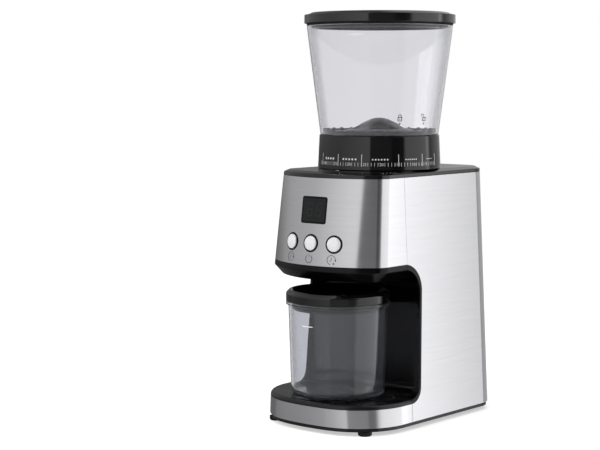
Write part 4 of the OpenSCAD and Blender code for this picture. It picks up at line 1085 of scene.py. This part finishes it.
def studio_walls(tree, direction):
    """Grey of the studio's walls by azimuth: 0 is the front, 90 the right. Gloss and steel mirror their edges."""
    way = add(tree, "SeparateXYZ", {0: direction})
    back = add(tree, "Math", {0: way.outputs["Y"], 1: -1.0}, operation="MULTIPLY")
    turn = add(tree, "Math", {0: way.outputs["X"], 1: back.outputs[0]}, operation="ARCTAN2")
    share = add(tree, "MapRange", {"Value": turn.outputs[0], "From Min": -math.pi, "From Max": math.pi})
    lower = [(-180, 0.4), (-150, 0.5), (-140, 0.14), (-92, 0.14), (-86, 0.22), (-40, 0.28), (5, 0.52), (20, 0.6),
             (21, 0.3), (60, 0.28), (64, 0.18), (76, 0.2), (84, 0.9), (136, 1.1), (140, 1.7), (149, 0.3),
             (160, 0.4), (180, 0.4)]
    upper = [(-180, 0.6), (-150, 0.7), (-142, 0.22), (-116, 0.22), (-108, 0.42), (-40, 0.52), (5, 0.8), (20, 0.85),
             (21, 0.13), (60, 0.11), (62, 0.04), (84, 0.05), (88, 0.88), (92, 0.98), (136, 1.12), (140, 2.1),
             (149, 0.3), (156, 0.45), (168, 0.6), (180, 0.6)]
    rows = []
    for band in (lower, upper):
        stops = [((azimuth + 180) / 360, (grey, grey, grey, 1)) for azimuth, grey in band]
        rows.append(add(tree, "ValToRGB", {"Fac": share.outputs[0]}, stops).outputs["Color"])
    height = add(tree, "MapRange", {"Value": way.outputs["Z"], "From Min": -0.03, "From Max": 0.03})
    return add(tree, "MixRGB", {"Fac": height.outputs[0], "Color1": rows[0], "Color2": rows[1]}).outputs[0]


class GRINDER_OT_studio(bpy.types.Operator):
    """Sets the floor, the soft light, the reflected studio walls and the camera"""
    bl_idname = "grinder.studio"
    bl_label = "Studio"

    def execute(self, context):
        scene = context.scene
        scene.view_settings.view_transform = "Standard"
        deselect()
        bpy.ops.mesh.primitive_plane_add(size=8)
        floor = context.object
        floor.name = "studio_floor"
        mat = bpy.data.materials.new("studio_paper")
        mat.use_nodes = True
        tree = mat.node_tree
        tree.nodes.clear()
        path = add(tree, "LightPath")
        paper = add(tree, "BsdfDiffuse", {"Color": linear("#F4F4F4")})
        glow = add(tree, "Emission", {"Color": (1, 1, 1, 1), "Strength": 0.5})
        shown = add(tree, "AddShader", {0: paper.outputs[0], 1: glow.outputs[0]})
        white = add(tree, "Emission", {"Color": (1, 1, 1, 1), "Strength": 1})
        through = path.outputs["Is Transmission Ray"]
        mix = add(tree, "MixShader", {0: through, 1: shown.outputs[0], 2: white.outputs[0]})
        add(tree, "OutputMaterial", {"Surface": mix.outputs[0]})
        floor.visible_glossy = False
        floor.data.materials.append(mat)

        world = bpy.data.worlds.new("studio_walls")
        scene.world = world
        world.use_nodes = True
        tree = world.node_tree
        tree.nodes.clear()
        walls = studio_walls(tree, add(tree, "TexCoord").outputs["Generated"])
        path = add(tree, "LightPath")
        lit = add(tree, "Background", {"Color": (1, 1, 1, 1), "Strength": 0.55})
        glossy = add(tree, "Background", {"Color": walls, "Strength": 1})
        white = add(tree, "Background", {"Color": (1, 1, 1, 1), "Strength": 1})
        gloss, seen, through = [path.outputs["Is " + kind + " Ray"] for kind in ("Glossy", "Camera", "Transmission")]
        first = add(tree, "MixShader", {0: gloss, 1: lit.outputs[0], 2: glossy.outputs[0]})
        either = add(tree, "Math", {0: seen, 1: through}, operation="MAXIMUM")
        second = add(tree, "MixShader", {0: either.outputs[0], 1: first.outputs[0], 2: white.outputs[0]})
        add(tree, "OutputWorld", {"Surface": second.outputs[0]})

        boxes = ("softbox_top", (0.2, -0.5, 1.6), 9, 1.4), ("softbox_left", (-1.3, -0.9, 0.9), 7, 1.0)
        for name, where, power, size in boxes:
            lamp = bpy.data.lights.new(name, "AREA")
            lamp.energy, lamp.size = power, size
            obj = bpy.data.objects.new(name, lamp)
            scene.collection.objects.link(obj)
            obj.location = where
            obj.rotation_euler = (Vector((0, 0, 0.15)) - Vector(where)).to_track_quat("-Z", "Y").to_euler()
            obj.visible_glossy = False

        cam = bpy.data.objects.new("studio_camera", bpy.data.cameras.new("studio_camera"))
        scene.collection.objects.link(cam)
        cam.data.sensor_width, cam.data.lens = 36, 97.28
        cam.data.clip_start, cam.data.clip_end = 0.05, 50
        cam.location = (0.95773, -1.24107, 0.33202)
        cam.rotation_euler = Vector((-0.64426, 0.75910, -0.09325)).to_track_quat("-Z", "Y").to_euler()
        scene.camera = cam
        return {"FINISHED"}


class GRINDER_PT_panel(bpy.types.Panel):
    """Lists the grinder's sizes and its makers"""
    bl_idname = "GRINDER_PT_panel"
    bl_label = "Burr grinder"
    bl_space_type = "VIEW_3D"
    bl_region_type = "UI"
    bl_category = "Grinder"

    def draw(self, context):
        for group, kind in GROUPS.items():
            box = self.layout.box()
            for key in kind.__annotations__:
                box.prop(getattr(context.scene, "grinder_" + group), key)
        for operator in OPERATORS:
            self.layout.operator(operator.bl_idname)


OPERATORS = (GRINDER_OT_base, GRINDER_OT_wrap, GRINDER_OT_bay, GRINDER_OT_head, GRINDER_OT_controls,
             GRINDER_OT_ring, GRINDER_OT_hopper, GRINDER_OT_hopper_lid, GRINDER_OT_container, GRINDER_OT_inner,
             GRINDER_OT_studio)
CLASSES = tuple(GROUPS.values()) + OPERATORS + (GRINDER_PT_panel,)


def register():
    for kind in CLASSES:
        bpy.utils.register_class(kind)
    for group, kind in GROUPS.items():
        setattr(bpy.types.Scene, "grinder_" + group, PointerProperty(type=kind))


def unregister():
    for group in GROUPS:
        delattr(bpy.types.Scene, "grinder_" + group)
    for kind in reversed(CLASSES):
        bpy.utils.unregister_class(kind)


def main():
    register()
    for operator in OPERATORS:
        family, name = operator.bl_idname.split(".")
        getattr(getattr(bpy.ops, family), name)()


if __name__ == "__main__":
    main()
